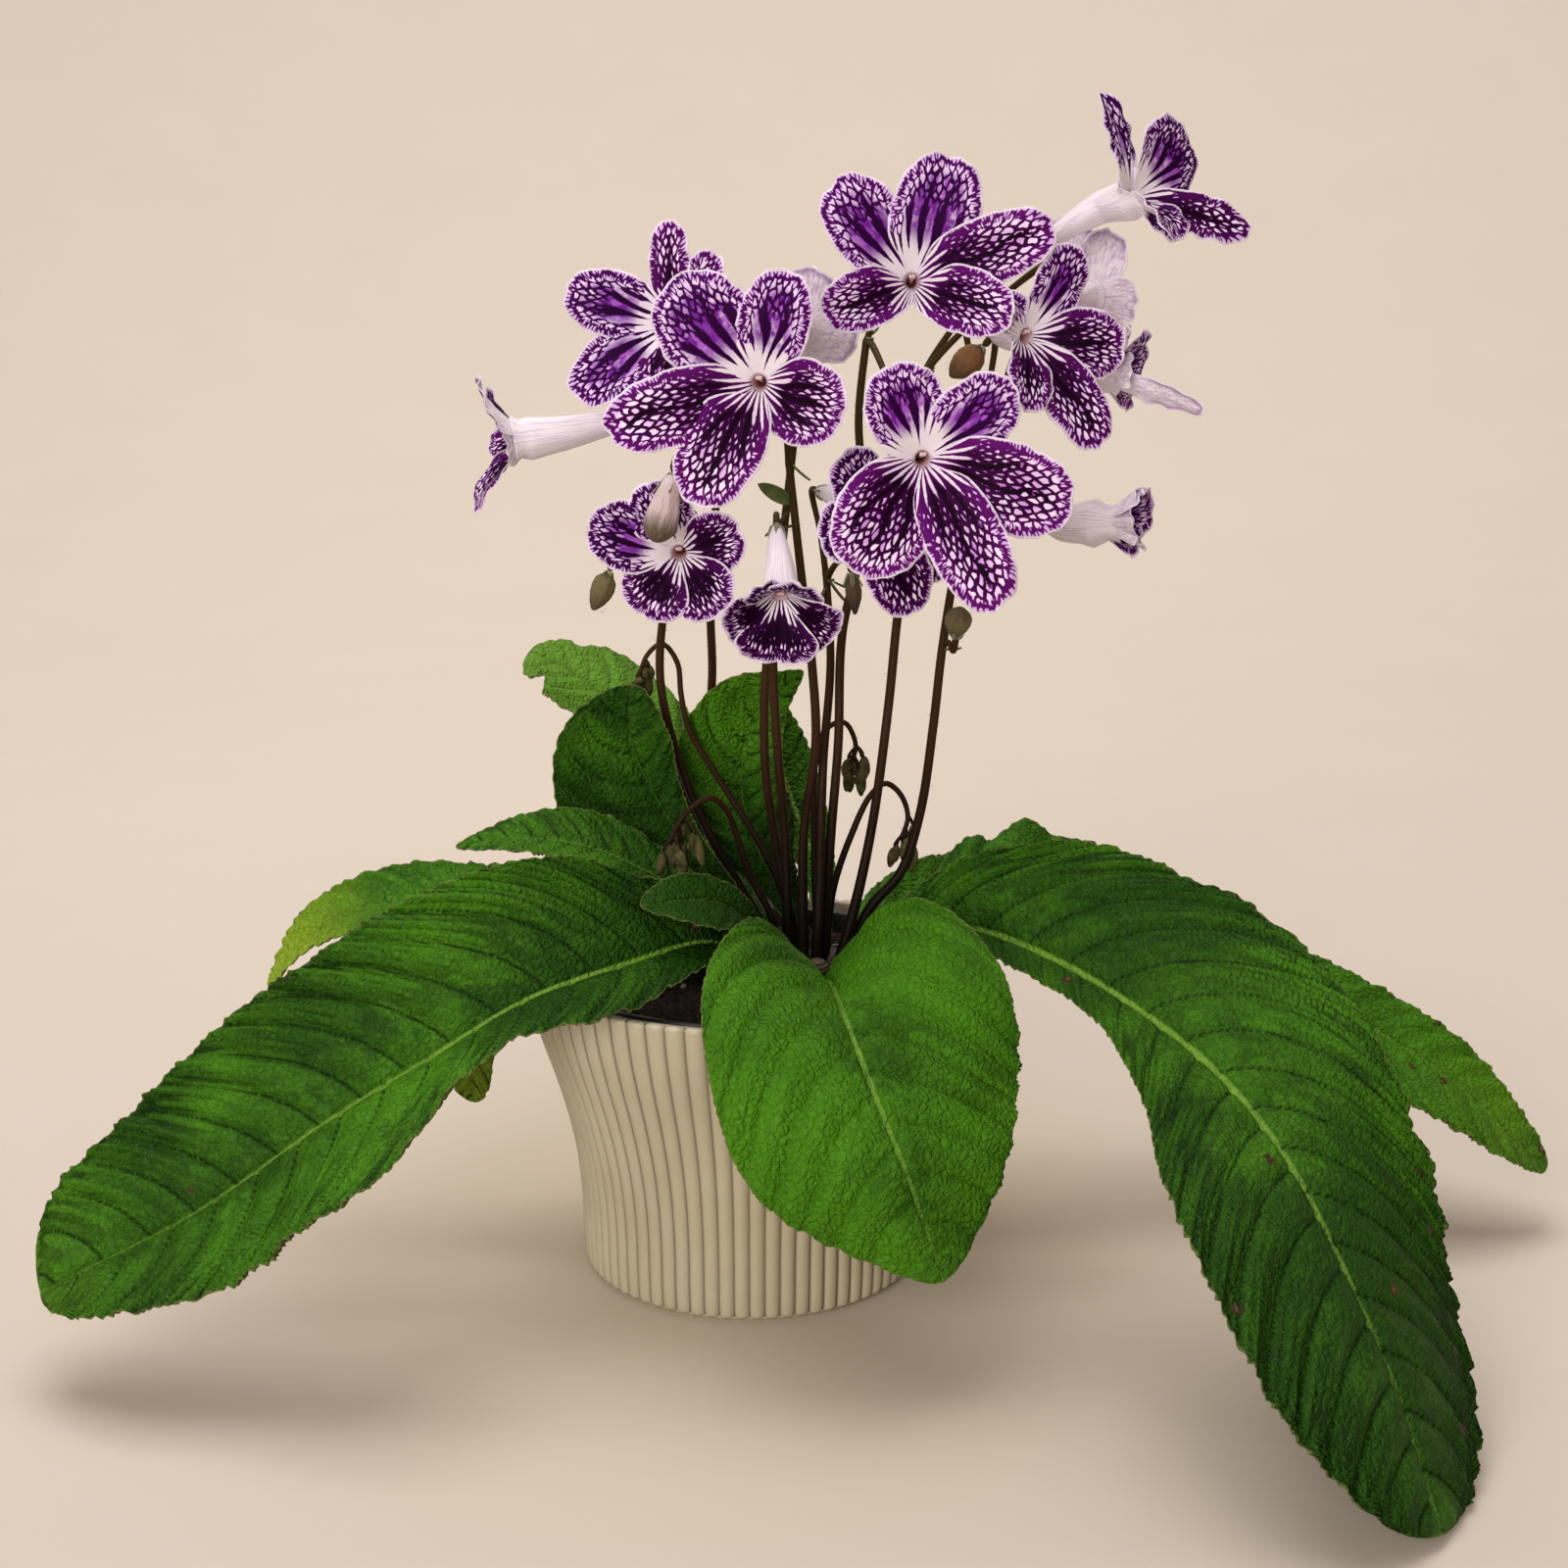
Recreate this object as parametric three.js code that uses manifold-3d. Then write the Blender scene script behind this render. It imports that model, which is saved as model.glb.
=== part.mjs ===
// Cape primrose (Streptocarpus) in flower, standing in its ribbed cover pot.
// Millimetres, +Z up. The origin is the middle of the pot's underside; the front is -Y.
import * as THREE from 'three';
import { mergeVertices } from 'three/addons/utils/BufferGeometryUtils.js';
import Module from 'manifold-3d';

const wasm = await Module();
wasm.setup();

// ---- driving sizes -------------------------------------------------------------------------
const REEDS = 72; // upright ribs round the cover pot
const POT_PROFILE = [[45.5, 0], [46.2, 20], [49.6, 43], [56, 64], [60.5, 84]]; // radius, height
const REED_DEPTH = 1.0; // groove depth between two ribs
const POT_WALL = 3.2;
const POT_FLOOR = 4;
const GAP = 0.3; // play between the two pots' floors, and under the soil
const LINER_WALL = 1.1;
const LINER_BASE = { radius: 39, z: POT_FLOOR + GAP };
const LINER_RIM = { radius: 52, z: 82.5 };
const LINER_LIP = { height: 3, under: 0.4, out: 1.2 }; // the lip turned out at its rim
const SOIL_TOP = 78;
const SOIL_EDGE = 0.4; // play between the soil and the liner's wall
const SOIL_HEAP = [[40, 0], [22, 0.5]]; // radius, rise of the peat towards the crown
const CROWN = { x: 16, y: 2, rx: 19, ry: 17 };
const CROWN_STEPS = [[1, 0.8], [0.96, 1.8], [0.8, 2.6], [0.5, 3.2]]; // share of width, height
const LEAF_THICK = 1.1;
const CUT = 5; // how far a hollow is cut past the rim
const RIB_DEPTH = 1.3; // how far the midrib stands out below the blade
const PETAL_THICK = 0.9;
const THROAT = 3.5; // radius of the corolla where the five lobes begin
const MOUTH = 2.2; // how far the tube runs on past the throat
const NECK = 8; // how far behind the throat the tube is narrow
const CALYX_RUN = 5; // straight start of the tube
const TUBE = [1.5, 2.3, 3.0, 3.5, 4.9]; // radii from calyx to mouth
const BORE = [1.6, 2.5, 3.4, 5.6]; // radii of the hollow from the neck outwards
const BORE_END = 6; // how far past the throat the hollow is cut
const STEM = 1.25; // radius of a flower stalk at the crown
const STEM_TAPER = [1, 0.95, 0.85];
const HOOK_TAPER = [0.85, 0.8, 0.7, 0.6, 1.1]; // ends in its tuft of small buds
const PEDICEL = 0.75;
const PEDICEL_AIM = 4; // straight end of a pedicel, in line with its flower
const PEDICEL_ARCH = 1.5;
const JOINT_GAP = 0.5; // a pedicel stops this far short of the flower it carries

const group = new THREE.Group();
group.name = 'cape_primrose';

const LOOKS = {
  pot: [0xddd2bd, 0.45],
  liner: [0x16130f, 0.5],
  soil: [0x241a14, 0.95],
  crown: [0x2b1c12, 0.85],
  leaf: [0x2f5f1f, 0.6],
  stalk: [0x3d2a17, 0.6],
  petal: [0x6b3a86, 0.55],
  bud: [0x5e5a34, 0.7],
};

// ---- small helpers -------------------------------------------------------------------------
const vec = (p) => new THREE.Vector3(p[0], p[1], p[2]);
const rad = (d) => (d * Math.PI) / 180;

// smooth value between equally spaced table entries, u from 0 to 1
function smooth(table, u) {
  const m = table.length - 1;
  const x = Math.min(Math.max(u, 0), 1) * m;
  const i = Math.min(Math.floor(x), m - 1);
  const t = x - i;
  const g = (k) => table[Math.min(Math.max(k, 0), m)];
  const [a, b, c, d] = [g(i - 1), g(i), g(i + 1), g(i + 2)];
  const t2 = t * t;
  return 0.5 * (2 * b + (c - a) * t + (2 * a - 5 * b + 4 * c - d) * t2
    + (3 * b - a - 3 * c + d) * t2 * t);
}

function solid(points, faces) {
  const flat = new Float32Array(points.length * 3);
  points.forEach((p, i) => flat.set([p.x, p.y, p.z], i * 3));
  const geometry = new THREE.BufferGeometry();
  geometry.setAttribute('position', new THREE.BufferAttribute(flat, 3));
  geometry.setIndex(faces);
  return geometry;
}

function toManifold(geometry) {
  const g = geometry.clone();
  g.deleteAttribute('normal');
  g.deleteAttribute('uv');
  const merged = mergeVertices(g, 1e-4);
  const mesh = new wasm.Mesh({
    numProp: 3,
    vertProperties: new Float32Array(merged.attributes.position.array),
    triVerts: new Uint32Array(merged.index.array),
  });
  return new wasm.Manifold(mesh);
}

function fromManifold(shape) {
  const mesh = shape.getMesh();
  const geometry = new THREE.BufferGeometry();
  geometry.setAttribute('position', new THREE.BufferAttribute(new Float32Array(mesh.vertProperties), 3));
  geometry.setIndex([...mesh.triVerts]);
  return geometry;
}

const union = (shapes) => shapes.reduce((sum, s) => sum.add(s));

function add(name, geometry, look) {
  const [color, roughness] = LOOKS[look];
  geometry.computeVertexNormals();
  const material = new THREE.MeshStandardMaterial({ color, roughness, metalness: 0 });
  const mesh = new THREE.Mesh(geometry, material);
  mesh.name = name;
  group.add(mesh);
}

// closed solid through rings of points; every ring has the same number of points
function skin(rings) {
  const n = rings[0].length;
  const points = rings.flat();
  const faces = [];
  for (let r = 0; r + 1 < rings.length; r += 1) {
    for (let k = 0; k < n; k += 1) {
      const a = r * n + k;
      const b = r * n + ((k + 1) % n);
      faces.push(a, b, b + n, a, b + n, a + n);
    }
  }
  const last = (rings.length - 1) * n;
  for (let k = 1; k + 1 < n; k += 1) {
    faces.push(0, k + 1, k);
    faces.push(last, last + k, last + k + 1);
  }
  return solid(points, faces);
}

// round rod along a curve, radius given by a table
function rod(points, radii, steps, sides) {
  const curve = new THREE.CatmullRomCurve3(points.map(vec), false, 'centripetal');
  const frames = curve.computeFrenetFrames(steps, false);
  const rings = [];
  for (let i = 0; i <= steps; i += 1) {
    const u = i / steps;
    const centre = curve.getPointAt(u);
    const r = smooth(radii, u);
    const ring = [];
    for (let k = 0; k < sides; k += 1) {
      const a = (2 * Math.PI * k) / sides;
      ring.push(centre.clone()
        .addScaledVector(frames.normals[i], r * Math.cos(a))
        .addScaledVector(frames.binormals[i], r * Math.sin(a)));
    }
    rings.push(ring);
  }
  return skin(rings);
}

// closed blade: top and bottom skins over a grid, thickness from depth(v) on the underside
function blade(at, us, vs, thick, depth) {
  const eps = 0.004;
  const top = [];
  const low = [];
  for (const u of us) {
    for (const v of vs) {
      const p = at(u, v);
      const du = at(Math.min(u + eps, 1), v).sub(at(Math.max(u - eps, 0), v));
      const dv = at(u, Math.min(v + eps, 1)).sub(at(u, Math.max(v - eps, -1)));
      const n = dv.cross(du).normalize();
      top.push(p.clone().addScaledVector(n, thick / 2));
      low.push(p.clone().addScaledVector(n, -thick / 2 - depth(u, v)));
    }
  }
  const cols = vs.length;
  const count = top.length;
  const faces = [];
  const quad = (a, b, c, d) => faces.push(a, b, c, a, c, d);
  for (let i = 0; i + 1 < us.length; i += 1) {
    for (let j = 0; j + 1 < cols; j += 1) {
      const a = i * cols + j;
      quad(a, a + 1, a + cols + 1, a + cols);
      quad(a + count, a + cols + count, a + cols + 1 + count, a + 1 + count);
    }
    const left = i * cols;
    const right = left + cols - 1;
    quad(left, left + cols, left + cols + count, left + count);
    quad(right, right + count, right + cols + count, right + cols);
  }
  const end = (us.length - 1) * cols;
  for (let j = 0; j + 1 < cols; j += 1) {
    quad(j, j + count, j + 1 + count, j + 1);
    quad(end + j, end + j + 1, end + j + 1 + count, end + j + count);
  }
  return solid([...top, ...low], faces);
}

// ---- cover pot: one moulding, flared, with rounded upright ribs ----------------------------
function potRing(radius, z, reeded) {
  const ring = [];
  const n = REEDS * 2;
  for (let k = 0; k < n; k += 1) {
    const a = (2 * Math.PI * k) / n;
    const r = radius - (reeded && k % 2 === 1 ? REED_DEPTH : 0);
    ring.push(new THREE.Vector3(r * Math.cos(a), r * Math.sin(a), z));
  }
  return ring;
}

function disc(rings, sides) {
  return skin(rings.map(([r, z]) => {
    const ring = [];
    for (let k = 0; k < sides; k += 1) {
      const a = (2 * Math.PI * k) / sides;
      ring.push(new THREE.Vector3(r * Math.cos(a), r * Math.sin(a), z));
    }
    return ring;
  }));
}

const potOuter = toManifold(skin(POT_PROFILE.map(([r, z]) => potRing(r, z, true))));
const potInside = POT_PROFILE.map(([r, z]) => [r - POT_WALL, Math.max(z, POT_FLOOR)]);
const [rimRadius, rimHeight] = potInside[potInside.length - 1];
const potInner = toManifold(disc([...potInside, [rimRadius, rimHeight + CUT]], 48));
add('cover_pot', fromManifold(potOuter.subtract(potInner)), 'pot');

// ---- nursery pot: thin black liner that holds the soil -------------------------------------
const linerSlope = (LINER_RIM.radius - LINER_BASE.radius) / (LINER_RIM.z - LINER_BASE.z);
const linerInside = (z) => LINER_BASE.radius - LINER_WALL + linerSlope * (z - LINER_BASE.z);
const linerOuter = toManifold(disc([
  [LINER_BASE.radius, LINER_BASE.z],
  [LINER_RIM.radius - LINER_LIP.under, LINER_RIM.z - LINER_LIP.height],
  [LINER_RIM.radius + LINER_LIP.out, LINER_RIM.z - LINER_LIP.height],
  [LINER_RIM.radius + LINER_LIP.out, LINER_RIM.z],
], 36));
const linerFloor = LINER_BASE.z + LINER_WALL;
const linerHollow = toManifold(disc([
  [linerInside(linerFloor), linerFloor],
  [linerInside(LINER_RIM.z), LINER_RIM.z],
  [linerInside(LINER_RIM.z), LINER_RIM.z + CUT],
], 36));
add('nursery_pot', fromManifold(linerOuter.subtract(linerHollow)), 'liner');

// ---- soil: peat filling, slightly heaped towards the crown ---------------------------------
add('soil', disc([
  [linerInside(linerFloor) - SOIL_EDGE, linerFloor + GAP],
  [linerInside(SOIL_TOP) - SOIL_EDGE, SOIL_TOP - 1],
  ...SOIL_HEAP.map(([r, rise]) => [r, SOIL_TOP + rise]),
], 30), 'soil');

// ---- crown: the short rootstock every leaf and stalk grows from ----------------------------
add('crown', skin(CROWN_STEPS.map(([k, rise]) => {
  const ring = [];
  const sides = 16;
  for (let i = 0; i < sides; i += 1) {
    const a = (2 * Math.PI * i) / sides;
    ring.push(new THREE.Vector3(CROWN.x + CROWN.rx * k * Math.cos(a),
      CROWN.y + CROWN.ry * k * Math.sin(a), SOIL_TOP + rise));
  }
  return ring;
})), 'crown');

// ---- leaves --------------------------------------------------------------------------------
// midrib: points along the rib from the crown. heading: compass direction of the blade, which
// sets its right side. right/left: half widths. roll, fold, droop: degrees along the blade.
// back: how far the ears at the root reach back. tip: bluntness. steps: sections along it.
const LEAVES = {
  leaf_front_left: {
    midrib: [[2, -9, 84], [-10, -24, 95], [-30, -38, 94], [-53, -50, 89], [-76, -58, 77],
      [-102, -64, 62], [-132, -70, 42], [-169, -76, 24]],
    heading: 200,
    right: [5, 17, 32, 37, 38, 37, 34, 32],
    left: [6, 11, 17, 14, 35, 31, 28, 22],
    roll: [30, 40, 40, 32, 28, 28, 28, 28],
    fold: [30, 22, 20, 22, 18, 14, 12, 10],
    tip: 12,
    steps: 13,
  },
  leaf_front: {
    midrib: [[19, -16, 82.5], [21, -40, 88], [24, -62, 86.5], [30, -78, 75], [37.5, -87, 58],
      [46, -86, 31.5]],
    heading: -75,
    right: [6, 24, 34, 37, 36, 29, 16],
    left: [6, 28, 39, 42, 39, 31.5, 18],
    fold: [50, 40, 15, 0, -5, -8],
    droop: [0, 0, -10, -12, -10, -5],
    back: 8,
    tip: 6,
    steps: 11,
  },
  leaf_front_right: {
    midrib: [[30, -6, 84], [39, -10, 92], [56, -16, 96], [73, -30, 94], [92, -50, 88],
      [110, -74, 79], [122, -96, 67], [132, -116, 48], [141, -132, 26], [147, -146, 3]],
    heading: -45,
    right: [4, 8, 10, 11, 22, 34, 39, 40, 36],
    left: [4, 20, 34, 41, 43, 41, 48, 46, 38],
    roll: [0, -25, -30, -25, -15, -5, 0, 5, 5],
    fold: [40, 30, 20, 15, 10, 5, 0, 0, 0],
    droop: [0, 0, -5, -10, -10, -10, -10, -10, -10],
    tip: 10,
    steps: 14,
  },
  leaf_back_left: {
    midrib: [[-1, 2, 85.5], [-18, 7, 90], [-34, 9, 93.5], [-55, 9, 96.5], [-78, 8, 98],
      [-101, 4, 96.5], [-117, -2, 90], [-127, -8, 78]],
    heading: 170,
    right: [3, 6, 10, 12, 13, 13, 12, 10],
    roll: [0, 0, 10, 18, 25, 28],
    fold: [15, 10, 5],
    tip: 10,
  },
  leaf_left_low: {
    midrib: [[-2, 4, 81], [-20, 2, 86], [-45, -3, 91], [-64, -6, 88], [-73, -8, 68], [-74, -9, 46]],
    heading: 185,
    right: [2.5, 6, 9, 10, 11, 10],
    fold: [10],
    roll: [0, 0, 0, 20, 50, 60],
    tip: 10,
  },
  leaf_left_short: {
    midrib: [[2, 1, 87], [-12, -2, 98], [-28, -4, 109], [-44, -5, 116], [-62, -5, 117.5],
      [-77, -4, 115]],
    heading: 185,
    right: [3, 7, 10, 11, 9, 5],
    roll: [25],
    fold: [10],
  },
  leaf_upright_left: {
    midrib: [[2, 10, 84], [-8, 12, 99], [-16, 13, 109], [-25, 14, 123], [-32, 14, 139],
      [-32, 13, 155]],
    heading: 150,
    right: [2.5, 4, 5, 8, 13, 13],
    left: [3, 6, 14, 26, 25, 18],
    roll: [60],
    fold: [10],
  },
  leaf_upright_back: {
    midrib: [[14, 18, 84], [9, 25, 92], [1, 29, 107], [-3, 31, 125], [2, 31, 143], [14, 30, 155.5]],
    heading: 90,
    right: [2.5, 7, 13, 12, 9, 4],
    left: [2.5, 5, 12, 19, 18, 6],
    fold: [10],
  },
  leaf_far_left: {
    midrib: [[4, 20, 85], [-10, 38, 98], [-21, 55, 118], [-37, 66, 136], [-51, 70, 147],
      [-65, 72, 154]],
    heading: 160,
    right: [2.5, 7, 12, 17, 16, 10],
    roll: [20],
    fold: [10],
    left: [2.5, 7, 12, 17, 20, 26],
    tip: 14,
  },
  leaf_back_small: {
    midrib: [[20, 16, 84], [18, 34, 98], [10, 48, 118], [3, 55, 137], [-3, 57, 150]],
    heading: 100,
    right: [2, 5, 9, 10, 7],
    fold: [15],
  },
  leaf_left_young: {
    midrib: [[4, -7, 91], [-1, -15, 99], [-8, -21, 105], [-17, -28, 107.5], [-27, -33, 107.5]],
    heading: 200,
    right: [2.5, 5, 7, 8, 6],
    roll: [25, 35, 35, 35, 30],
    fold: [15, 15, 10, 10, 10],
    left: [2.5, 8, 12, 12, 8],
  },
  leaf_back_right: {
    midrib: [[28, 11, 84], [36, 26, 88], [56, 44, 90], [80, 52, 90], [108, 52, 83], [138, 43, 71],
      [168, 31, 57], [194, 22, 42], [222, 14, 17]],
    heading: 0,
    right: [4, 12, 17, 20, 23, 26, 27, 25, 19],
    roll: [0, -25, -25, -25, -25, -30, -35, -35, -35],
    fold: [10],
    steps: 12,
    tip: 8,
    left: [4, 10, 12, 13, 13, 13, 14, 15, 13],
  },
  leaf_right_curled: {
    midrib: [[31, 3, 84], [40, 10, 92], [52, 16, 98], [66, 22, 102], [80, 27, 104], [94, 31, 104]],
    heading: 20,
    right: [3, 8, 10, 9, 8, 6],
    roll: [-10],
    fold: [20],
    left: [3, 8, 10, 12, 13, 8],
  },
};
const BLADE_V = [-1, -0.52, -0.07, 0.07, 0.52, 1];

function leafSurface(leaf) {
  const curve = new THREE.CatmullRomCurve3(leaf.midrib.map(vec), false, 'centripetal');
  const h = rad(leaf.heading);
  const side0 = new THREE.Vector3(Math.sin(h), -Math.cos(h), 0);
  const left = leaf.left || leaf.right;
  const tip = leaf.tip || 6;
  const table = (t, u) => (!t ? 0 : t.length === 1 ? t[0] : smooth(t, u));
  return (u, v) => {
    const c = curve.getPointAt(u);
    const t = curve.getTangentAt(u);
    let side = side0.clone().addScaledVector(t, -side0.dot(t)).normalize();
    let up = side.clone().cross(t);
    const roll = rad(table(leaf.roll, u));
    side = side.multiplyScalar(Math.cos(roll)).addScaledVector(up, Math.sin(roll));
    up = side.clone().cross(t);
    const a = Math.abs(v);
    const w = Math.max(smooth(v > 0 ? leaf.right : left, u), 0.2) * Math.sqrt(1 - u ** tip);
    const phi = rad(table(leaf.fold, u) + table(leaf.droop, u) * a);
    return c.addScaledVector(side, Math.sign(v) * w * a * Math.cos(phi))
      .addScaledVector(up, w * a * Math.sin(phi))
      .addScaledVector(t, -(leaf.back || 0) * (1 - u) ** 4 * a * a);
  };
}

for (const [name, leaf] of Object.entries(LEAVES)) {
  const steps = leaf.steps || 8;
  const us = Array.from({ length: steps }, (_, i) => i / steps).concat(0.97, 0.995);
  const rib = (u, v) => (Math.abs(v) < 0.1 ? RIB_DEPTH * (1 - 0.7 * u) : 0);
  add(name, blade(leafSurface(leaf), us, BLADE_V, LEAF_THICK, rib), 'leaf');
}

// ---- flowers -------------------------------------------------------------------------------
// throat: centre of the mouth. facing: degrees round from the front, degrees up.
// lobes: direction round the face, length, half width, opening from the axis at root and tip.
// stalkEnd: where the calyx sits. funnel: how much wider than usual the tube ends.
const FLOWERS = {
  flower_low_right: {
    throat: [41, -45, 219],
    facing: [5, 0],
    lobes: [[112, 21.3, 10.3, 55, 95], [42, 24.5, 9.5, 55, 95], [233, 29.3, 12.8, 50, 90],
      [342, 34.8, 11.5, 50, 95], [296, 38, 10, 45, 90]],
    stalkEnd: [39, -19, 223],
  },
  flower_left: {
    throat: [3, -35, 236],
    facing: [-8, 0],
    lobes: [[131, 29, 12.6, 55, 95], [73, 25, 9.2, 55, 95], [197, 36, 9.6, 50, 90],
      [340, 20.3, 11, 50, 95], [243, 31, 10.8, 45, 90]],
    stalkEnd: [7, -9, 240],
  },
  flower_top: {
    throat: [40, -10, 259],
    facing: [0, 5],
    lobes: [[131, 28.5, 10.2, 55, 95], [72, 29, 11.5, 55, 95], [202, 23.5, 8.3, 45, 80],
      [20, 34.8, 9, 50, 95], [338, 25.5, 9, 44, 80]],
    stalkEnd: [40, 16, 261],
  },
  flower_left_behind: {
    throat: [-18, 0, 249],
    facing: [-20, 5],
    lobes: [[165, 26, 9, 50, 85], [220, 29, 9.3, 50, 85], [90, 22.5, 6, 55, 95],
      [52, 18.3, 6, 55, 95], [270, 20, 9, 45, 80]],
    stalkEnd: [-9, 24, 251],
  },
  flower_right: {
    throat: [68, -11, 246],
    facing: [28, 0],
    lobes: [[66, 21.7, 8, 55, 92], [124, 9, 5, 75, 100], [352, 22.7, 9.5, 50, 85],
      [297, 30.5, 8.5, 45, 80], [250, 19, 7.5, 40, 70]],
    stalkEnd: [57, 5, 248],
  },
  flower_top_right: {
    throat: [95, 5, 279],
    facing: [47, 12],
    lobes: [[108, 24, 5.5, 72, 100], [42, 21.5, 11.5, 55, 82], [335, 30, 6.5, 40, 75],
      [295, 14, 7, 30, 60], [235, 20, 7.5, 20, 60]],
    funnel: 1.25,
    stalkEnd: [73, 16, 269],
  },
  flower_low_left: {
    throat: [-17, -20, 194],
    facing: [-5, -5],
    lobes: [[156, 21.3, 9.6, 50, 90], [108, 18, 8.6, 50, 90], [22, 15.5, 8.6, 50, 90],
      [237, 15.5, 9.6, 45, 85], [309, 16, 9.4, 45, 85]],
    stalkEnd: [-15, 6, 200],
  },
  flower_nodding: {
    throat: [8, -30, 185],
    facing: [2, -40],
    lobes: [[110, 10, 8.5, 40, 70], [65, 10, 8.5, 40, 70], [200, 13.5, 11, 40, 70],
      [335, 14, 11, 40, 70], [265, 14.5, 12, 35, 65]],
    funnel: 1.2,
    stalkEnd: [7, -13, 199.5],
  },
  flower_far_left: {
    throat: [-55.5, 0, 220.5],
    facing: [-80, -8],
    lobes: [[68, 18, 9.5, 35, 75], [118, 14, 8, 35, 72], [200, 14, 7, 30, 60],
      [350, 8, 6, 30, 60], [250, 22, 9, 28, 55]],
    funnel: 1.3,
    stalkEnd: [-24, 8, 226],
  },
  flower_behind_low: {
    throat: [31, -5, 201],
    facing: [25, 0],
    lobes: [[125, 19, 9, 50, 90], [192, 16, 9, 50, 90], [284, 24, 10, 45, 85],
      [60, 18, 9, 50, 90], [330, 22, 10, 50, 90]],
    stalkEnd: [18, 21, 205],
  },
  flower_opening: {
    throat: [88, 1, 199],
    facing: [66, 2],
    lobes: [[90, 13, 10, 14, 36], [25, 14, 10, 18, 46], [160, 11, 11, 8, 30],
      [225, 12, 11, 8, 26], [305, 11, 8, 16, 42]],
    funnel: 1.5,
    stalkEnd: [69, 5, 206],
  },
  flower_far_right: {
    throat: [90, 8, 236],
    facing: [76, -4],
    lobes: [[40, 13, 7, 45, 70], [100, 11, 6, 45, 75], [330, 12, 6, 40, 70], [165, 9, 6, 25, 50],
      [214, 27, 6.5, 12, 26]],
    funnel: 1.2,
    stalkEnd: [72, 0, 242],
  },
  flower_back: {
    throat: [12, 32, 246],
    facing: [180, 10],
    lobes: [[110, 14, 8, 60, 100], [60, 14, 8, 60, 100], [190, 14, 8, 60, 100],
      [350, 14, 8, 60, 100], [270, 17, 8, 50, 90]],
    stalkEnd: [13, 10, 250],
  },
  flower_back_right: {
    throat: [87, 25, 255],
    facing: [150, 5],
    lobes: [[110, 15, 7, 58, 95], [62, 20, 8, 55, 90], [190, 11, 7, 60, 100],
      [350, 11, 7, 60, 100], [270, 14, 7, 50, 90]],
    stalkEnd: [75, 6, 263],
  },
};
const LOBE_SHAPE = [0.2, 0.42, 0.66, 0.86, 0.98, 1.0, 0.98];
const LOBE_U = [0, 0.25, 0.5, 0.72, 0.9, 0.985];

function flowerFrame([around, up]) {
  const a = rad(around);
  const e = rad(up);
  const axis = new THREE.Vector3(
    Math.sin(a) * Math.cos(e), -Math.cos(a) * Math.cos(e), Math.sin(e));
  const x = new THREE.Vector3(Math.cos(a), Math.sin(a), 0);
  const y = x.clone().cross(axis).negate();
  if (y.z < 0) {
    y.negate();
  }
  return { x, y, axis };
}

// lobe as a surface: it leaves the throat at one angle to the axis and bends out to another
function lobeSurface(frame, throat, [turn, length, half, open0, open1]) {
  const p = rad(turn);
  const out = frame.x.clone().multiplyScalar(Math.cos(p)).addScaledVector(frame.y, Math.sin(p));
  const across = frame.x.clone().multiplyScalar(-Math.sin(p)).addScaledVector(frame.y, Math.cos(p));
  return (u, v) => {
    let r = THROAT;
    let a = 0;
    const parts = 12;
    for (let i = 0; i < parts; i += 1) {
      const s = (u * (i + 0.5)) / parts;
      const open = rad(open0 + (open1 - open0) * s);
      r += (Math.sin(open) * u * length) / parts;
      a += (Math.cos(open) * u * length) / parts;
    }
    const w = half * smooth(LOBE_SHAPE, u) * Math.sqrt(1 - u ** 5);
    return throat.clone().addScaledVector(out, r).addScaledVector(frame.axis, a)
      .addScaledVector(across, w * v);
  };
}

function corolla(flower) {
  const throat = vec(flower.throat);
  const frame = flowerFrame(flower.facing);
  const ahead = (point, far) => point.clone().addScaledVector(frame.axis, far).toArray();
  const start = vec(flower.stalkEnd);
  const neck = ahead(throat, -NECK);
  const mouth = ahead(throat, MOUTH);
  const path = [flower.stalkEnd, ahead(start, CALYX_RUN), neck, flower.throat, mouth];
  const radii = TUBE.map((r, i) => (i > 2 ? r * (flower.funnel || 1) : r));
  const tube = toManifold(rod(path, radii, 5, 6));
  const boreEnd = ahead(throat, BORE_END);
  const bore = toManifold(rod([neck, flower.throat, mouth, boreEnd], BORE, 2, 6));
  const lobes = flower.lobes.map((lobe) => {
    const flat = () => 0;
    return toManifold(blade(lobeSurface(frame, throat, lobe), LOBE_U, [-1, 1], PETAL_THICK, flat));
  });
  return fromManifold(union([...lobes, tube.subtract(bore)]));
}

for (const [name, flower] of Object.entries(FLOWERS)) {
  add(name, corolla(flower), 'petal');
}

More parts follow.
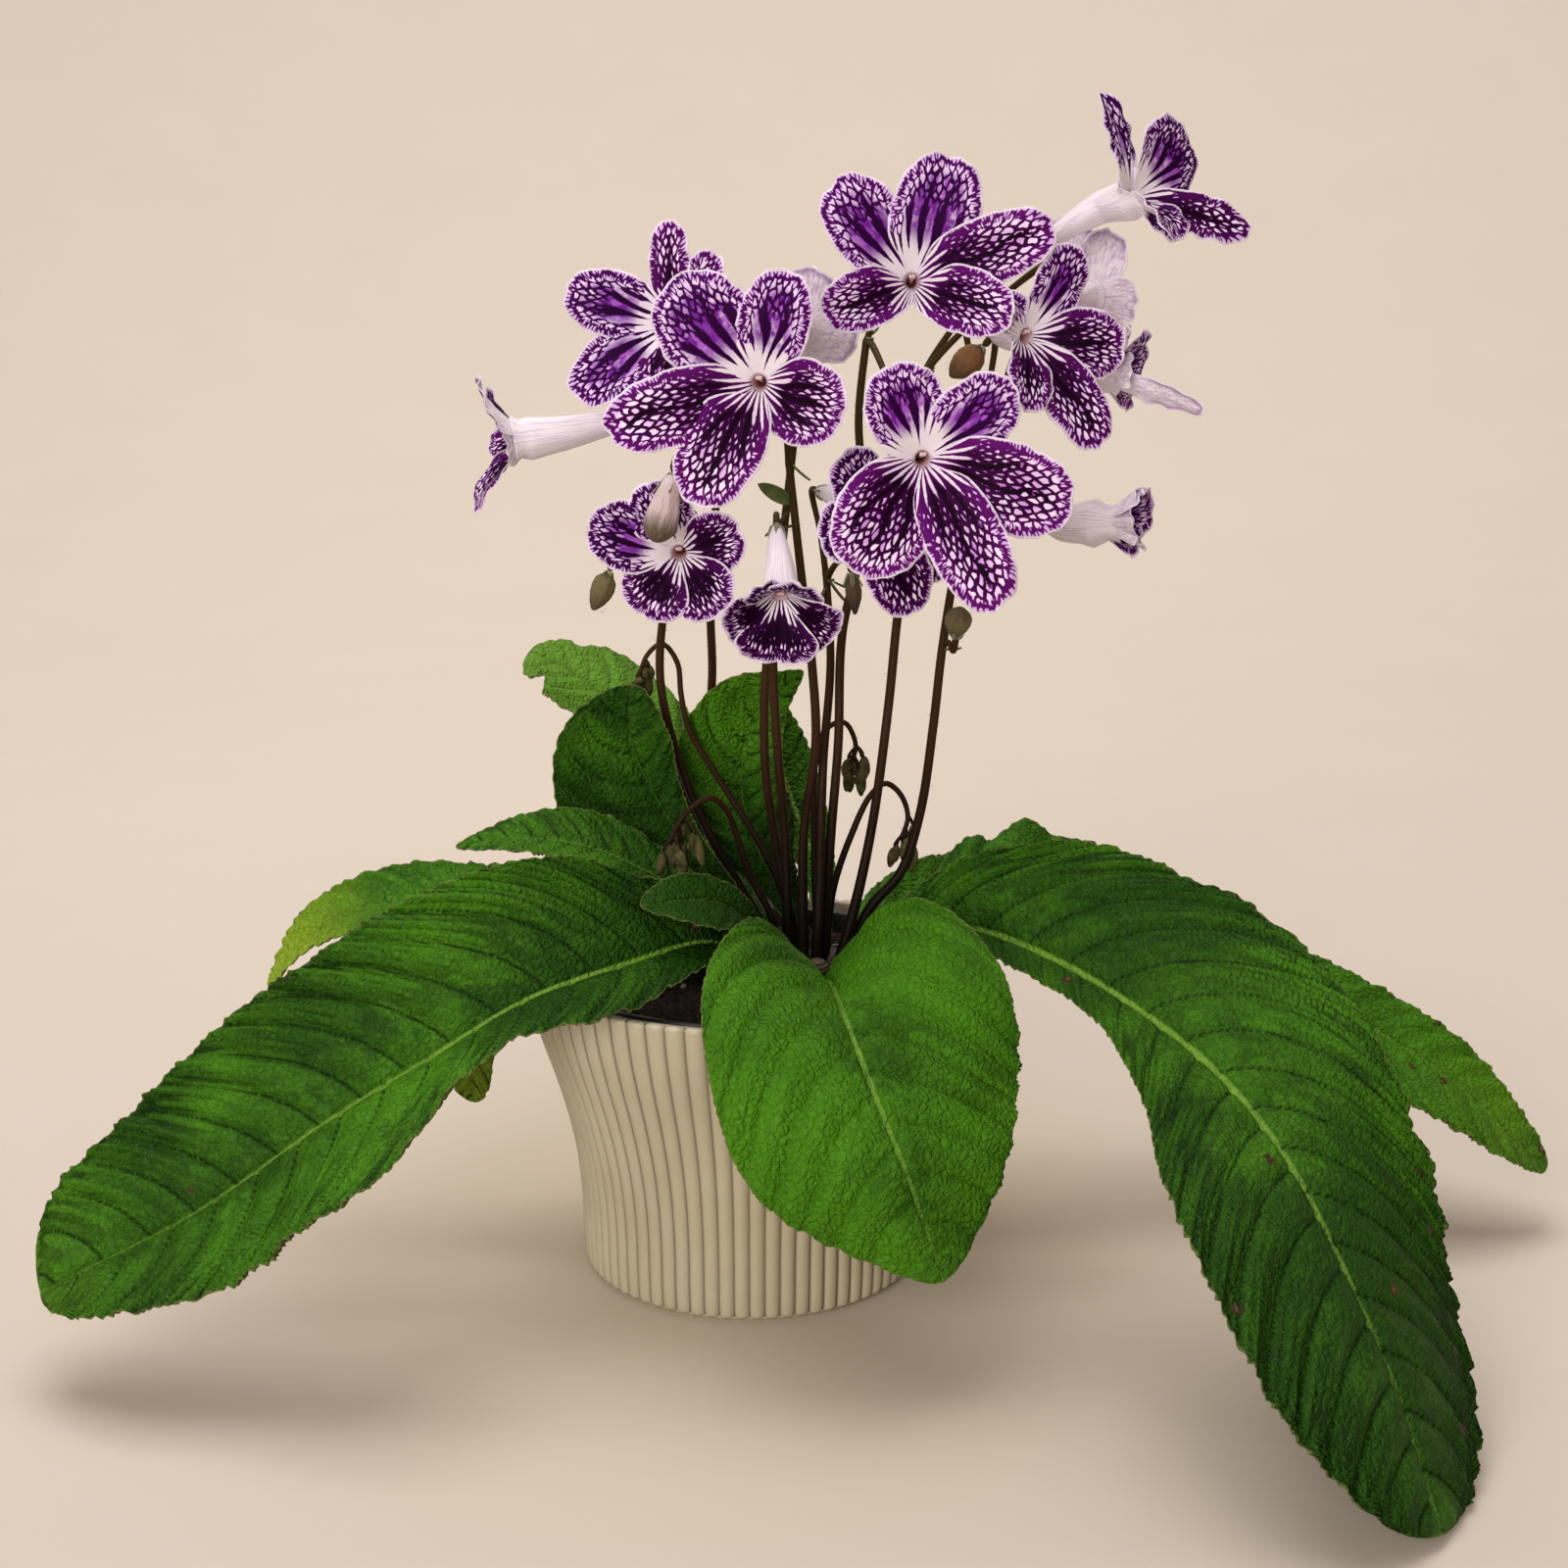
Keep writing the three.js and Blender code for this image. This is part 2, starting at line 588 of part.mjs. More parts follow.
// ---- flower stalks: each rises from the crown and branches into one pedicel per flower ------
const STALKS = {
  stalk_far_left: {
    path: [[7, 10, 82], [-3, 16, 98], [-15, 19, 120], [-24, 19, 152], [-23, 16, 174],
      [-19, 8, 192]],
    ends: ['flower_low_left', 'bud_pale', 'bud_low_left'],
  },
  stalk_left: {
    path: [[6, 14, 82], [-4, 20, 92], [-13, 25, 102], [-15, 34, 117], [-13, 38, 132], [-11, 36, 152],
      [-11, 27, 178], [-8, 20, 214]],
    ends: ['flower_left_behind', 'flower_far_left'],
  },
  stalk_front_left: {
    path: [[10, 2, 82], [9, 2, 117], [7, -2, 142], [6, -4, 166], [7, -2, 196]],
    ends: ['flower_nodding'],
  },
  stalk_middle: {
    path: [[14, -1, 82], [14, -1, 118], [17, -3, 142], [16, -4, 163], [13, -3, 188], [10, -3, 215]],
    ends: ['flower_left'],
  },
  stalk_front: {
    path: [[17, -6, 82], [18, -5, 100], [19, 1, 136], [21, 9, 161], [20, 16, 183]],
    ends: ['flower_behind_low', 'bud_dry'],
  },
  stalk_top: {
    path: [[19, 0, 82], [21, 1, 115], [23, 3, 141], [24, 6, 170], [30, 13, 197], [28, 12, 224],
      [30, 13, 246]],
    ends: ['flower_top', 'flower_low_right'],
  },
  stalk_right: {
    path: [[23, -3, 82], [27, -2, 96], [32, 0, 120], [36, 1, 152], [38, 2, 174], [42, 8, 203],
      [44, 14, 236]],
    ends: ['flower_top_right', 'flower_back_right'],
  },
  stalk_far_right: {
    path: [[25, 3, 82], [32, 5, 96], [40, 7, 105], [45, 8, 121], [48, 6, 145], [50, 4, 167],
      [54, 6, 192], [60, 8, 217]],
    ends: ['flower_right', 'flower_opening', 'flower_far_right', 'bud_top_right', 'bud_calyx'],
  },
  stalk_back: {
    path: [[13, 6, 82], [8, 9, 105], [4, 8, 132], [4, 8, 158], [7, 9, 181], [12, 11, 225]],
    ends: ['flower_back'],
  },
};
// young stalks, each bent over like a crook
const HOOKS = {
  hook_front_left: [[9, -3, 82], [5, -4, 97], [0, -4, 107], [-3, -6, 117], [-6, -9, 126],
    [-10, -12, 130], [-16, -15, 126], [-21, -17, 119]],
  hook_right: [[20, 5, 82], [22, 8, 100], [27, 10, 115], [32, 12, 125], [36, 13, 128],
    [40, 13, 125], [42, 12, 119], [40, 10, 113]],
  hook_back: [[18, 10, 82], [17, 14, 110], [18, 16, 138], [21, 16, 143], [25, 16, 144], [28, 16, 138],
    [27, 16, 133]],
  hook_back_left: [[14, 13, 83], [4, 17, 107], [-10, 22, 129], [-17, 23, 141], [-19, 24, 150],
    [-20, 24, 159], [-24, 24, 164], [-28, 23, 161], [-30, 22, 156]],
};
// from the pedicel to the tip, with radii along the bud
const BUDS = {
  bud_pale: { from: [-18, -30, 214], to: [-22, -35, 198.5], radii: [1.8, 2.9, 4.0, 4.4, 2.6] },
  bud_low_left: { from: [-35, -12, 188], to: [-39, -15, 179], radii: [1.2, 2.7, 3.0, 2.4, 0.9] },
  bud_dry: { from: [26, 0, 186], to: [27, -3, 176], radii: [0.9, 1.9, 2.1, 1.6, 0.6] },
  bud_top_right: { from: [58, -3, 243], to: [50, -6, 236], radii: [1.3, 3.2, 3.7, 3.1, 1.1] },
  bud_calyx: { from: [53, -1, 170], to: [54, -4, 178], radii: [1.2, 2.6, 3.4, 3.2, 2.4] },
};

function pedicel(start, name) {
  const end = vec(BUDS[name] ? BUDS[name].from : FLOWERS[name].stalkEnd);
  const from = vec(start);
  const aim = BUDS[name]
    ? vec(BUDS[name].to).sub(end).normalize()
    : flowerFrame(FLOWERS[name].facing).axis;
  end.addScaledVector(aim, -JOINT_GAP);
  const before = end.clone().addScaledVector(aim, -PEDICEL_AIM);
  const mid = from.clone().add(before).multiplyScalar(0.5);
  mid.z += PEDICEL_ARCH;
  const points = [from, mid, before, end].map((p) => p.toArray());
  return toManifold(rod(points, [PEDICEL * 1.3, PEDICEL, PEDICEL, PEDICEL], 5, 5));
}

for (const [name, stalk] of Object.entries(STALKS)) {
  const steps = Math.max(8, stalk.path.length + 2);
  const main = toManifold(rod(stalk.path, STEM_TAPER.map((k) => k * STEM), steps, 6));
  const top = stalk.path[stalk.path.length - 1];
  const low = stalk.path[stalk.path.length - 2];
  const branches = stalk.ends.map((end) => {
    const start = end === 'bud_calyx' ? stalk.path[5] : end === 'flower_opening' ? low : top;
    return pedicel(start, end);
  });
  add(name, fromManifold(union([main, ...branches])), 'stalk');
}
for (const [name, path] of Object.entries(HOOKS)) {
  add(name, rod(path, HOOK_TAPER.map((k) => k * STEM), 12, 6), 'stalk');
}
for (const [name, bud] of Object.entries(BUDS)) {
  const a = vec(bud.from);
  const b = vec(bud.to);
  const path = [0, 0.33, 0.66, 1].map((t) => a.clone().lerp(b, t).toArray());
  add(name, rod(path, bud.radii, 6, 8), 'bud');
}

export default group;
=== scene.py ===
from math import cos, hypot, pi, radians, sin, sqrt

import bpy
import numpy as np
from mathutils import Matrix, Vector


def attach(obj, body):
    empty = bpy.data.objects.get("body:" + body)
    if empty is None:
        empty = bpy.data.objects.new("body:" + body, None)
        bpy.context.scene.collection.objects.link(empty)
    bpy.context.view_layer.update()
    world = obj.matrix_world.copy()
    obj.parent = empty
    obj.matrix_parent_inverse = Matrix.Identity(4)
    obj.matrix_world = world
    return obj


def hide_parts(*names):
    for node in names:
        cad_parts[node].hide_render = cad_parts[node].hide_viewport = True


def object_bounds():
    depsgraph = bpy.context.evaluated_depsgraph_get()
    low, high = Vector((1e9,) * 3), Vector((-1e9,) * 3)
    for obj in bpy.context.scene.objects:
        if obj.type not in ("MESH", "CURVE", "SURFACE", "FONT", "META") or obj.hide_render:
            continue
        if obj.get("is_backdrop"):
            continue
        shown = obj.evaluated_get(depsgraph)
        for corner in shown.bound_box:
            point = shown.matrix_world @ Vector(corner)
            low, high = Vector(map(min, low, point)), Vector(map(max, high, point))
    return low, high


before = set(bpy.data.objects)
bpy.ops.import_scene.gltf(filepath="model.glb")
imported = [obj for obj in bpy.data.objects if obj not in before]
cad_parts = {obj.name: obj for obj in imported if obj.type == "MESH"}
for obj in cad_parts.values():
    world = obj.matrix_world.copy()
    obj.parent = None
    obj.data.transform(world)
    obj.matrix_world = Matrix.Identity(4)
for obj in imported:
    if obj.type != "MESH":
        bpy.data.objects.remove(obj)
cad_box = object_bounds()


# ---- studio ----------------------------------------------------------------------------------
# The plant stands on a pale warm paper sweep that curves up all round it. One large soft light
# hangs overhead, with weaker ones in front and behind. The camera looks slightly down on the pot.
SWEEP_FLAT, SWEEP_BEND, SWEEP_TOP = 0.9, 1.8, 3.4  # metres
PAPER, PAPER_GREY, PAPER_WARM_SHADE = (0.60, 0.53, 0.464), (0.573, 0.503, 0.439), (0.59, 0.51, 0.40)
DAYLIGHT, DAYLIGHT_STRENGTH = (0.93, 0.90, 0.86, 1), 0.66
CAMERA_PLACE, CAMERA_TILT, CAMERA_LENS, CAMERA_FILM = (0.0088, -0.559, 0.262), 76.8, 50.4, 36
# painted shade: near the pot the paper is painted warmer and a little darker, standing in for the
# warm shade under the plant
SHADE_FROM, SHADE_TO = 0.22, 0.05  # metres from the pot, where the paper turns warmer


def put(tree, kind, sockets=None, gives=(0,), **settings):
    """Add one node and give its outputs; a socket takes a value or another node's output."""
    made = tree.nodes.new(kind)
    for key, value in settings.items():
        setattr(made, key, value)
    for key, value in (sockets or {}).items():
        if isinstance(value, Varied):
            tree.links.new(value.socket, made.inputs[key])
        else:
            made.inputs[key].default_value = value
    given = [Varied(made.outputs[key]) for key in gives]
    return given if len(given) > 1 else given[0]


class Varied:
    """A number or colour that varies over a surface; arithmetic on it adds the nodes for it."""

    def __init__(self, socket):
        self.socket, self.tree = socket, socket.id_data

    def step(self, how, *values):
        return put(self.tree, "ShaderNodeMath", dict(enumerate(values)), operation=how)

    def __add__(self, other):
        return self.step("ADD", self, other)

    def __mul__(self, other):
        return self.step("MULTIPLY", self, other)

    def __sub__(self, other):
        return self.step("SUBTRACT", self, other)

    def __rsub__(self, other):
        return self.step("SUBTRACT", other, self)

    def __pow__(self, power):
        return self.step("POWER", self, power)

    def __abs__(self):
        return self.step("ABSOLUTE", self)

    def __round__(self):
        return self.step("ROUND", self)


def ease(value, low, high, out_low=0.0, out_high=1.0):
    """Smooth step of a value from low to high."""
    return put(value.tree, "ShaderNodeMapRange", {
        "Value": value, "From Min": low, "From Max": high, "To Min": out_low, "To Max": out_high,
    }, interpolation_type="SMOOTHSTEP")


def tone(first, second, amount):
    """Colour mixed from first to second by amount."""
    first, second = (c if isinstance(c, Varied) else (*c, 1) for c in (first, second))
    return put(amount.tree, "ShaderNodeMix", {0: amount, 6: first, 7: second}, (2,),
               data_type="RGBA")


def layered(colour, *layers):
    """A colour with others laid over it in turn, each by its own amount."""
    for over, amount in layers:
        colour = tone(colour, over, amount)
    return colour


class Finish:
    """A material in the making, and what its surface can vary by."""

    def __init__(self, name):
        self.material = bpy.data.materials.new(name)
        self.material.use_nodes = True
        self.tree = self.material.node_tree
        self.inputs = self.tree.nodes["Principled BSDF"].inputs

    def places(self):
        """Where a point is, in metres."""
        return put(self.tree, "ShaderNodeTexCoord", None, ("Object",))

    def speckle(self, scale, detail=3.0):
        """Soft random mottling, features 1/scale metres apart."""
        return put(self.tree, "ShaderNodeTexNoise", {
            "Vector": self.places(), "Scale": scale, "Detail": detail, "Roughness": 0.55})

    def cells(self, scale, gives=("Distance",), feature="F1"):
        """Irregular cells 1/scale metres apart: distance from their middles or their borders."""
        return put(self.tree, "ShaderNodeTexVoronoi", {"Vector": self.places(), "Scale": scale},
                   gives, feature=feature)

    def stretched(self, vector, by):
        """A vector with each of its parts multiplied."""
        return put(self.tree, "ShaderNodeVectorMath", {0: vector, 1: by}, operation="MULTIPLY")

    def parts_of(self, vector):
        """The three parts of a vector."""
        return put(self.tree, "ShaderNodeSeparateXYZ", {0: vector}, (0, 1, 2))

    def mark(self, name):
        """A mark kept at the mesh's points, as one vector."""
        return put(self.tree, "ShaderNodeAttribute", None, ("Vector",), attribute_name=name)

    def marks(self, name):
        """The three values of a mark."""
        return self.parts_of(self.mark(name))

    def paint(self, colour, rough, height=None, depth=0.0, strength=1.0, specular=0.5, sheen=0.0):
        """Set the colour, roughness and gloss, and the fine relief, height times depth metres."""
        self.tree.links.new(colour.socket, self.inputs["Base Color"])
        if isinstance(rough, Varied):
            self.tree.links.new(rough.socket, self.inputs["Roughness"])
        else:
            self.inputs["Roughness"].default_value = rough
        self.inputs["Specular IOR Level"].default_value = specular
        self.inputs["Sheen Weight"].default_value = sheen
        if height:
            bump = put(self.tree, "ShaderNodeBump",
                       {"Height": height, "Distance": depth, "Strength": strength})
            self.tree.links.new(bump.socket, self.inputs["Normal"])


def mesh_of(name, points, faces):
    """Mesh from points in metres and arrays of quads or triangles."""
    mesh = bpy.data.meshes.new(name)
    corners = np.concatenate([f.ravel() for f in faces])
    sizes = np.concatenate([np.full(len(f), f.shape[1]) for f in faces])
    mesh.vertices.add(len(points))
    mesh.vertices.foreach_set("co", np.asarray(points, np.float32).ravel())
    mesh.loops.add(len(corners))
    mesh.loops.foreach_set("vertex_index", corners.astype(np.int32))
    mesh.polygons.add(len(sizes))
    starts = np.concatenate([[0], np.cumsum(sizes)[:-1]])
    mesh.polygons.foreach_set("loop_start", starts.astype(np.int32))
    mesh.update(calc_edges=True)
    mesh.validate()
    mesh.shade_smooth()
    return mesh


def steps_round(sides):
    """Angles at even steps round a circle."""
    return np.arange(sides) * 2 * pi / sides


def rings_round(turn, profile):
    """Points round the upright axis for each radius and height, one number or one a point."""
    return np.vstack([np.stack([radius * np.cos(turn), radius * np.sin(turn), height + 0 * turn],
                               axis=1) for radius, height in profile])


def ring_quads(rings, sides):
    """Quads between rings of points that close round."""
    r, k = np.meshgrid(np.arange(rings - 1), np.arange(sides), indexing="ij")
    a = (r * sides + k).ravel()
    b = (r * sides + (k + 1) % sides).ravel()
    return np.stack([a, b, b + sides, a + sides], axis=1)


sweep_line = [(0.002, 0), (0.3, 0), (0.8, 0)]
for degrees in range(0, 91, 6):
    a = radians(degrees)
    sweep_line.append((SWEEP_FLAT + SWEEP_BEND * sin(a), SWEEP_BEND * (1 - cos(a))))
sweep_line.append((SWEEP_FLAT + SWEEP_BEND, SWEEP_TOP))
sweep = bpy.data.objects.new("sweep", mesh_of(
    "sweep", rings_round(steps_round(96), sweep_line), [ring_quads(len(sweep_line), 96)]))
bpy.context.collection.objects.link(sweep)
paper = Finish("pale_paper")
out_from_pot = put(paper.tree, "ShaderNodeVectorMath", {0: paper.places()}, ("Value",),
                   operation="LENGTH")
# painted shade: the paper turns warm and a little darker towards the pot
paper.paint(layered(PAPER, (PAPER_GREY, paper.speckle(9, 6)),
                    (PAPER_WARM_SHADE, ease(out_from_pot, SHADE_FROM, SHADE_TO, 0, 0.9))),
            0.85, specular=0.15)
sweep.data.materials.append(paper.material)
sweep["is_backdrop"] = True

world = bpy.data.worlds.new("studio")
bpy.context.scene.world = world
world.use_nodes = True
sky = world.node_tree.nodes["Background"].inputs
sky["Color"].default_value, sky["Strength"].default_value = DAYLIGHT, DAYLIGHT_STRENGTH


def soft_light(name, place, aim, size, power, tint):
    """Square lamp at a place in metres, turned to face its aim."""
    data = bpy.data.lights.new(name, "AREA")
    data.size, data.energy, data.color = size, power, tint
    lamp = bpy.data.objects.new(name, data)
    lamp.location = place
    way = np.asarray(aim, float) - np.asarray(place, float)
    lamp.rotation_euler = (np.arctan2(hypot(way[0], way[1]), -way[2]), 0,
                           np.arctan2(-way[0], way[1]))
    bpy.context.collection.objects.link(lamp)


soft_light("overhead", (-0.2, 0.1, 1.6), (0, 0, 0.1), 1.0, 13, (1, 0.98, 0.95))
soft_light("front", (-0.5, -1.5, 0.6), (0, 0, 0.2), 0.9, 19, (1, 0.98, 0.96))
soft_light("backdrop", (0, 0.8, 1.9), (0, 2.6, 0.6), 1.4, 26, (1, 0.98, 0.96))

camera_data = bpy.data.cameras.new("camera")
camera_data.lens, camera_data.sensor_width = CAMERA_LENS, CAMERA_FILM
camera = bpy.data.objects.new("camera", camera_data)
camera.location, camera.rotation_euler = CAMERA_PLACE, (radians(CAMERA_TILT), 0, 0)
bpy.context.collection.objects.link(camera)
bpy.context.scene.camera = camera
bpy.context.scene.view_settings.view_transform = "Standard"


# ---- cover pot -------------------------------------------------------------------------------
# Slip-cast stoneware cover pot with a cream satin glaze: 72 rounded upright reeds that run from
# a recessed foot to a scalloped rim, plain inside. Sizes from here on are in millimetres.
REEDS = 72
REED_STEPS = 8  # points across one reed
REED_RELIEF = 1.8
POT_LINE = [[0, 45.5], [8, 45.9], [20, 46.2], [32, 47.4], [43, 49.6], [54, 52.7], [64, 56],
            [74, 58.8], [84, 60.5]]  # height, radius over the reeds
POT_FOOT = [(43.2, 0.0), (43.6, 0.9)]  # the recessed underside: radius, height
POT_HEEL = [(1.9, 1.0), (0.8, 1.15), (0.25, 1.7), (0.05, 2.5)]  # how far in, and height
POT_LIP = [(0, 0.55), (0.3, 0.2), (0.9, 0.02), (1.6, 0)]  # how far in and down from the rim
POT_RIM, POT_TALL = 60.45, 84
POT_INSIDE = [(57.5, 83.7), (57.25, 83), (55.6, 74), (52.8, 64), (46.5, 43), (43.1, 20),
              (42.3, 5.2), (41.2, 4.1), (20, 4.0), (0.5, 4.0)]  # radius, height
CREAM, CREAM_WARM = (0.475, 0.42, 0.295), (0.42, 0.365, 0.24)
# the deep cream is painted shade, laid into the grooves between the reeds
CREAM_GROOVE_SHADE, CREAM_PINHOLE = (0.14, 0.11, 0.065), (0.45, 0.38, 0.28)


def curve_through(points, steps):
    """Points at even steps along a smooth centripetal curve, and its length."""
    p = np.asarray(points, float)
    ends = np.vstack([2 * p[0] - p[1], p, 2 * p[-1] - p[-2]])
    fine = []
    for i in range(len(p) - 1):
        a, b, c, d = ends[i:i + 4]
        ab, bc, cd = (max(np.linalg.norm(y - x), 1e-4) ** 0.5 for x, y in ((a, b), (b, c), (c, d)))
        out = ((b - a) / ab - (c - a) / (ab + bc) + (c - b) / bc) * bc
        into = ((c - b) / bc - (d - b) / (bc + cd) + (d - c) / cd) * bc
        t = np.linspace(0, 1, 40, endpoint=False)[:, None]
        fine.append((2 * t**3 - 3 * t**2 + 1) * b + (t**3 - 2 * t**2 + t) * out
                    + (3 * t**2 - 2 * t**3) * c + (t**3 - t**2) * into)
    fine = np.vstack(fine + [p[-1:]])
    run = np.concatenate([[0], np.cumsum(np.linalg.norm(np.diff(fine, axis=0), axis=1))])
    at = np.linspace(0, run[-1], steps + 1)
    return np.stack([np.interp(at, run, fine[:, k]) for k in range(p.shape[1])], axis=1), run[-1]


def closed_faces(rings, sides):
    """Quads between rings of points, and the fans that close the first and the last ring."""
    k = np.arange(1, sides - 1)
    return [ring_quads(rings, sides), np.stack([0 * k, k + 1, k], axis=1),
            np.stack([0 * k, k, k + 1], axis=1) + (rings - 1) * sides]


def add_piece(name, shapes, finishes, stands_for):
    """Join shapes into one piece that rides on the body and stands for a CAD node.

    A shape is a dict: points in mm, faces as pairs of corners and which of the finishes they
    have, and marks, which are values kept at each point for the finish to read.
    """
    points = np.vstack([s["points"] for s in shapes])
    starts = np.cumsum([0] + [len(s["points"]) for s in shapes])
    faces = [f + start for s, start in zip(shapes, starts) for f, _ in s["faces"]]
    kinds = [np.full(len(f), kind) for s in shapes for f, kind in s["faces"]]
    mesh = mesh_of(name, points / 1000, faces)
    mesh.polygons.foreach_set("material_index", np.concatenate(kinds).astype(np.int32))
    for mark in sorted({m for s in shapes for m in s.get("marks", {})}):
        values = [s.get("marks", {}).get(mark, np.zeros((len(s["points"]), 3))) for s in shapes]
        made = mesh.attributes.new(mark, "FLOAT_VECTOR", "POINT")
        made.data.foreach_set("vector", np.vstack(values).astype(np.float32).ravel())
    for finish in finishes:
        mesh.materials.append(finish.material)
    piece = bpy.data.objects.new(name, mesh)
    bpy.context.collection.objects.link(piece)
    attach(piece, "root")
    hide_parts(stands_for)


pot_line, _ = curve_through(POT_LINE, 52)
pot_sides = REEDS * REED_STEPS
across_reed = (np.arange(pot_sides) % REED_STEPS) / REED_STEPS * 2 - 1
groove = 1 - np.sqrt(1 - (0.965 * across_reed) ** 2)  # 0 on a reed's crest, most in the groove
pot_rings = [*POT_FOOT]
for inward, height in POT_HEEL:
    radius = np.interp(height, pot_line[:, 0], pot_line[:, 1])
    pot_rings.append((radius - inward - REED_RELIEF * groove * min(1, 1.1 - inward / 2),
                      height + 0.5 * groove * (height < 2)))
for height, radius in pot_line[3:-1]:
    pot_rings.append((radius - REED_RELIEF * groove, height))
for inward, drop in POT_LIP:
    pot_rings.append((POT_RIM - inward - REED_RELIEF * groove * (1 - inward / 2.4),
                      POT_TALL - drop - 0.9 * groove))
reeded = [0.0] * len(POT_FOOT) + [1.0] * (len(pot_rings) - len(POT_FOOT))
reeded += [0.0] * len(POT_INSIDE)
pot_rings += POT_INSIDE
# how deep each point lies in a groove, for the painted shade there
groove_shade_mark = np.zeros((pot_sides * len(pot_rings), 3))
groove_shade_mark[:, 0] = np.tile(groove, len(pot_rings)) * np.repeat(reeded, pot_sides)
glaze = Finish("cream_glaze")
colour = layered(CREAM, (CREAM_WARM, ease(glaze.speckle(28, 4), 0.3, 0.7)),
                 # painted shade: the glaze is darkened in the grooves between the reeds
                 (CREAM_GROOVE_SHADE, ease(glaze.marks("reed")[0], 0.28, 0.7, 0, 0.85)),
                 (CREAM_PINHOLE, ease(glaze.cells(240), 0.09, 0.05, 0, 0.35)))
glaze.paint(colour, ease(glaze.speckle(90, 4), 0.3, 0.7, 0.36, 0.52), glaze.speckle(420, 5),
            0.00025, 0.5)
glaze.inputs["Coat Weight"].default_value = 0.12
glaze.inputs["Coat Roughness"].default_value = 0.3
add_piece("cover_pot_reeded", [{
    "points": rings_round(steps_round(pot_sides), pot_rings), "marks": {"reed": groove_shade_mark},
    "faces": [(f, 0) for f in closed_faces(len(pot_rings), pot_sides)],
}], [glaze], "cover_pot")


# ---- nursery pot -----------------------------------------------------------------------------
# Thin black moulded pot that the plant grew in, slipped into the cover pot; its lip shows as a
# dark edge behind and between the leaves.
LINER_LINE = [(10, 4.3), (39, 4.3), (51.4, 79.4), (53.0, 79.6), (53.2, 80.2), (53.2, 82.1),
              (52.9, 82.5), (51.6, 82.5), (51.0, 81.9), (50.7, 79.2), (46.5, 55), (38, 5.5),
              (10, 5.4)]
LINER_SIDES = 180
turn = steps_round(LINER_SIDES)
liner_points = rings_round(turn, LINER_LINE)
liner_points[:, :2] *= 1 + 0.0025 * np.sin(7 * np.tile(turn, len(LINER_LINE)))[:, None]
liner_faces = ring_quads(len(LINER_LINE) + 1, LINER_SIDES) % len(liner_points)
plastic = Finish("black_liner")
dusty = plastic.speckle(60, 5)
plastic.paint(tone((0.006, 0.0055, 0.005), (0.03, 0.024, 0.018), ease(dusty, 0.5, 0.75)),
              ease(dusty, 0.3, 0.7, 0.35, 0.7), plastic.speckle(700, 2), 0.0001, 0.5)
add_piece("nursery_pot_liner", [{"points": liner_points, "faces": [(liner_faces, 0)]}], [plastic],
          "nursery_pot")


# ---- soil ------------------------------------------------------------------------------------
# Dark peat, crumbly and slightly heaped round the crown, with a few pale grains of perlite and
# bits of dry litter on top.
SOIL_TOP = 78.0
SOIL_SIDES = 200
HEAP_AT, HEAP_TALL = (16, 2), 1.6
CRUMBS, CRUMB_SPREAD = 90, 47
CRUMB_RINGS, CRUMB_SIDES = 6, 8
SOIL_LINE = [(38.0, 5.6), (39.2, 14)]  # the hidden sides of the root ball


def cell_net(p, q, seed):
    """Irregular cells on a unit grid: gap to the border, distance to the middle, cell number."""
    near = np.full(np.shape(p), 9.0)
    second = near.copy()
    number = near.copy()
    for dp in (-1, 0, 1):
        for dq in (-1, 0, 1):
            cp, cq = np.floor(p) + dp, np.floor(q) + dq
            jp = np.modf(np.abs(np.sin(cp * 127.1 + cq * 311.7 + seed) * 4375.85))[0]
            jq = np.modf(np.abs(np.sin(cp * 269.5 + cq * 183.3 + seed) * 2800.19))[0]
            away = np.hypot(cp + 0.1 + 0.8 * jp - p, cq + 0.1 + 0.8 * jq - q)
            number = np.where(away < near, jp, number)
            second = np.minimum(second, np.maximum(near, away))
            near = np.minimum(near, away)
    return second - near, near, number


def lumps(x, y, size, seed):
    """Random rounded lumps, 0 to 1, about size apart."""
    gap, nearest, _ = cell_net(x / size, y / size, seed)
    return np.clip(1 - nearest, 0, 1) * np.clip(gap * 3, 0.35, 1)


def crumb(middle, size, rng, finish):
    """One irregular grain: a small ball, dented at random."""
    a, b = np.meshgrid(np.linspace(0.25, pi - 0.25, CRUMB_RINGS), steps_round(CRUMB_SIDES),
                       indexing="ij")
    ball = np.stack([np.sin(a) * np.cos(b), np.sin(a) * np.sin(b), np.cos(a)], axis=-1)
    ball = (ball * rng.uniform(0.7, 1.25, ball.shape[:2] + (1,))).reshape(-1, 3)
    return {"points": ball * size * rng.uniform(0.7, 1.3, 3) + middle,
            "faces": [(f[:, ::-1], finish) for f in closed_faces(CRUMB_RINGS, CRUMB_SIDES)]}


turn = steps_round(SOIL_SIDES)
soil_rings = rings_round(turn, SOIL_LINE)
for radius in [*np.linspace(1.6, 49.6, 54)[::-1], 0.6]:  # from the rim inwards
    x, y, _ = rings_round(turn, [(radius, 0)]).T
    heap = HEAP_TALL * np.exp(-((x - HEAP_AT[0]) ** 2 + (y - HEAP_AT[1]) ** 2) / 600)
    z = (SOIL_TOP + heap - 0.4 + 1.3 * lumps(x, y, 4.3, 1.0) + 0.8 * lumps(x, y, 1.9, 5.0)
         - 2.0 * (radius / 50) ** 8)
    soil_rings = np.vstack([soil_rings, np.stack([x, y, z], axis=1)])
soil_shapes = [{"points": soil_rings, "faces": [
    (f, 0) for f in closed_faces(len(soil_rings) // SOIL_SIDES, SOIL_SIDES)]}]
rng = np.random.default_rng(11)
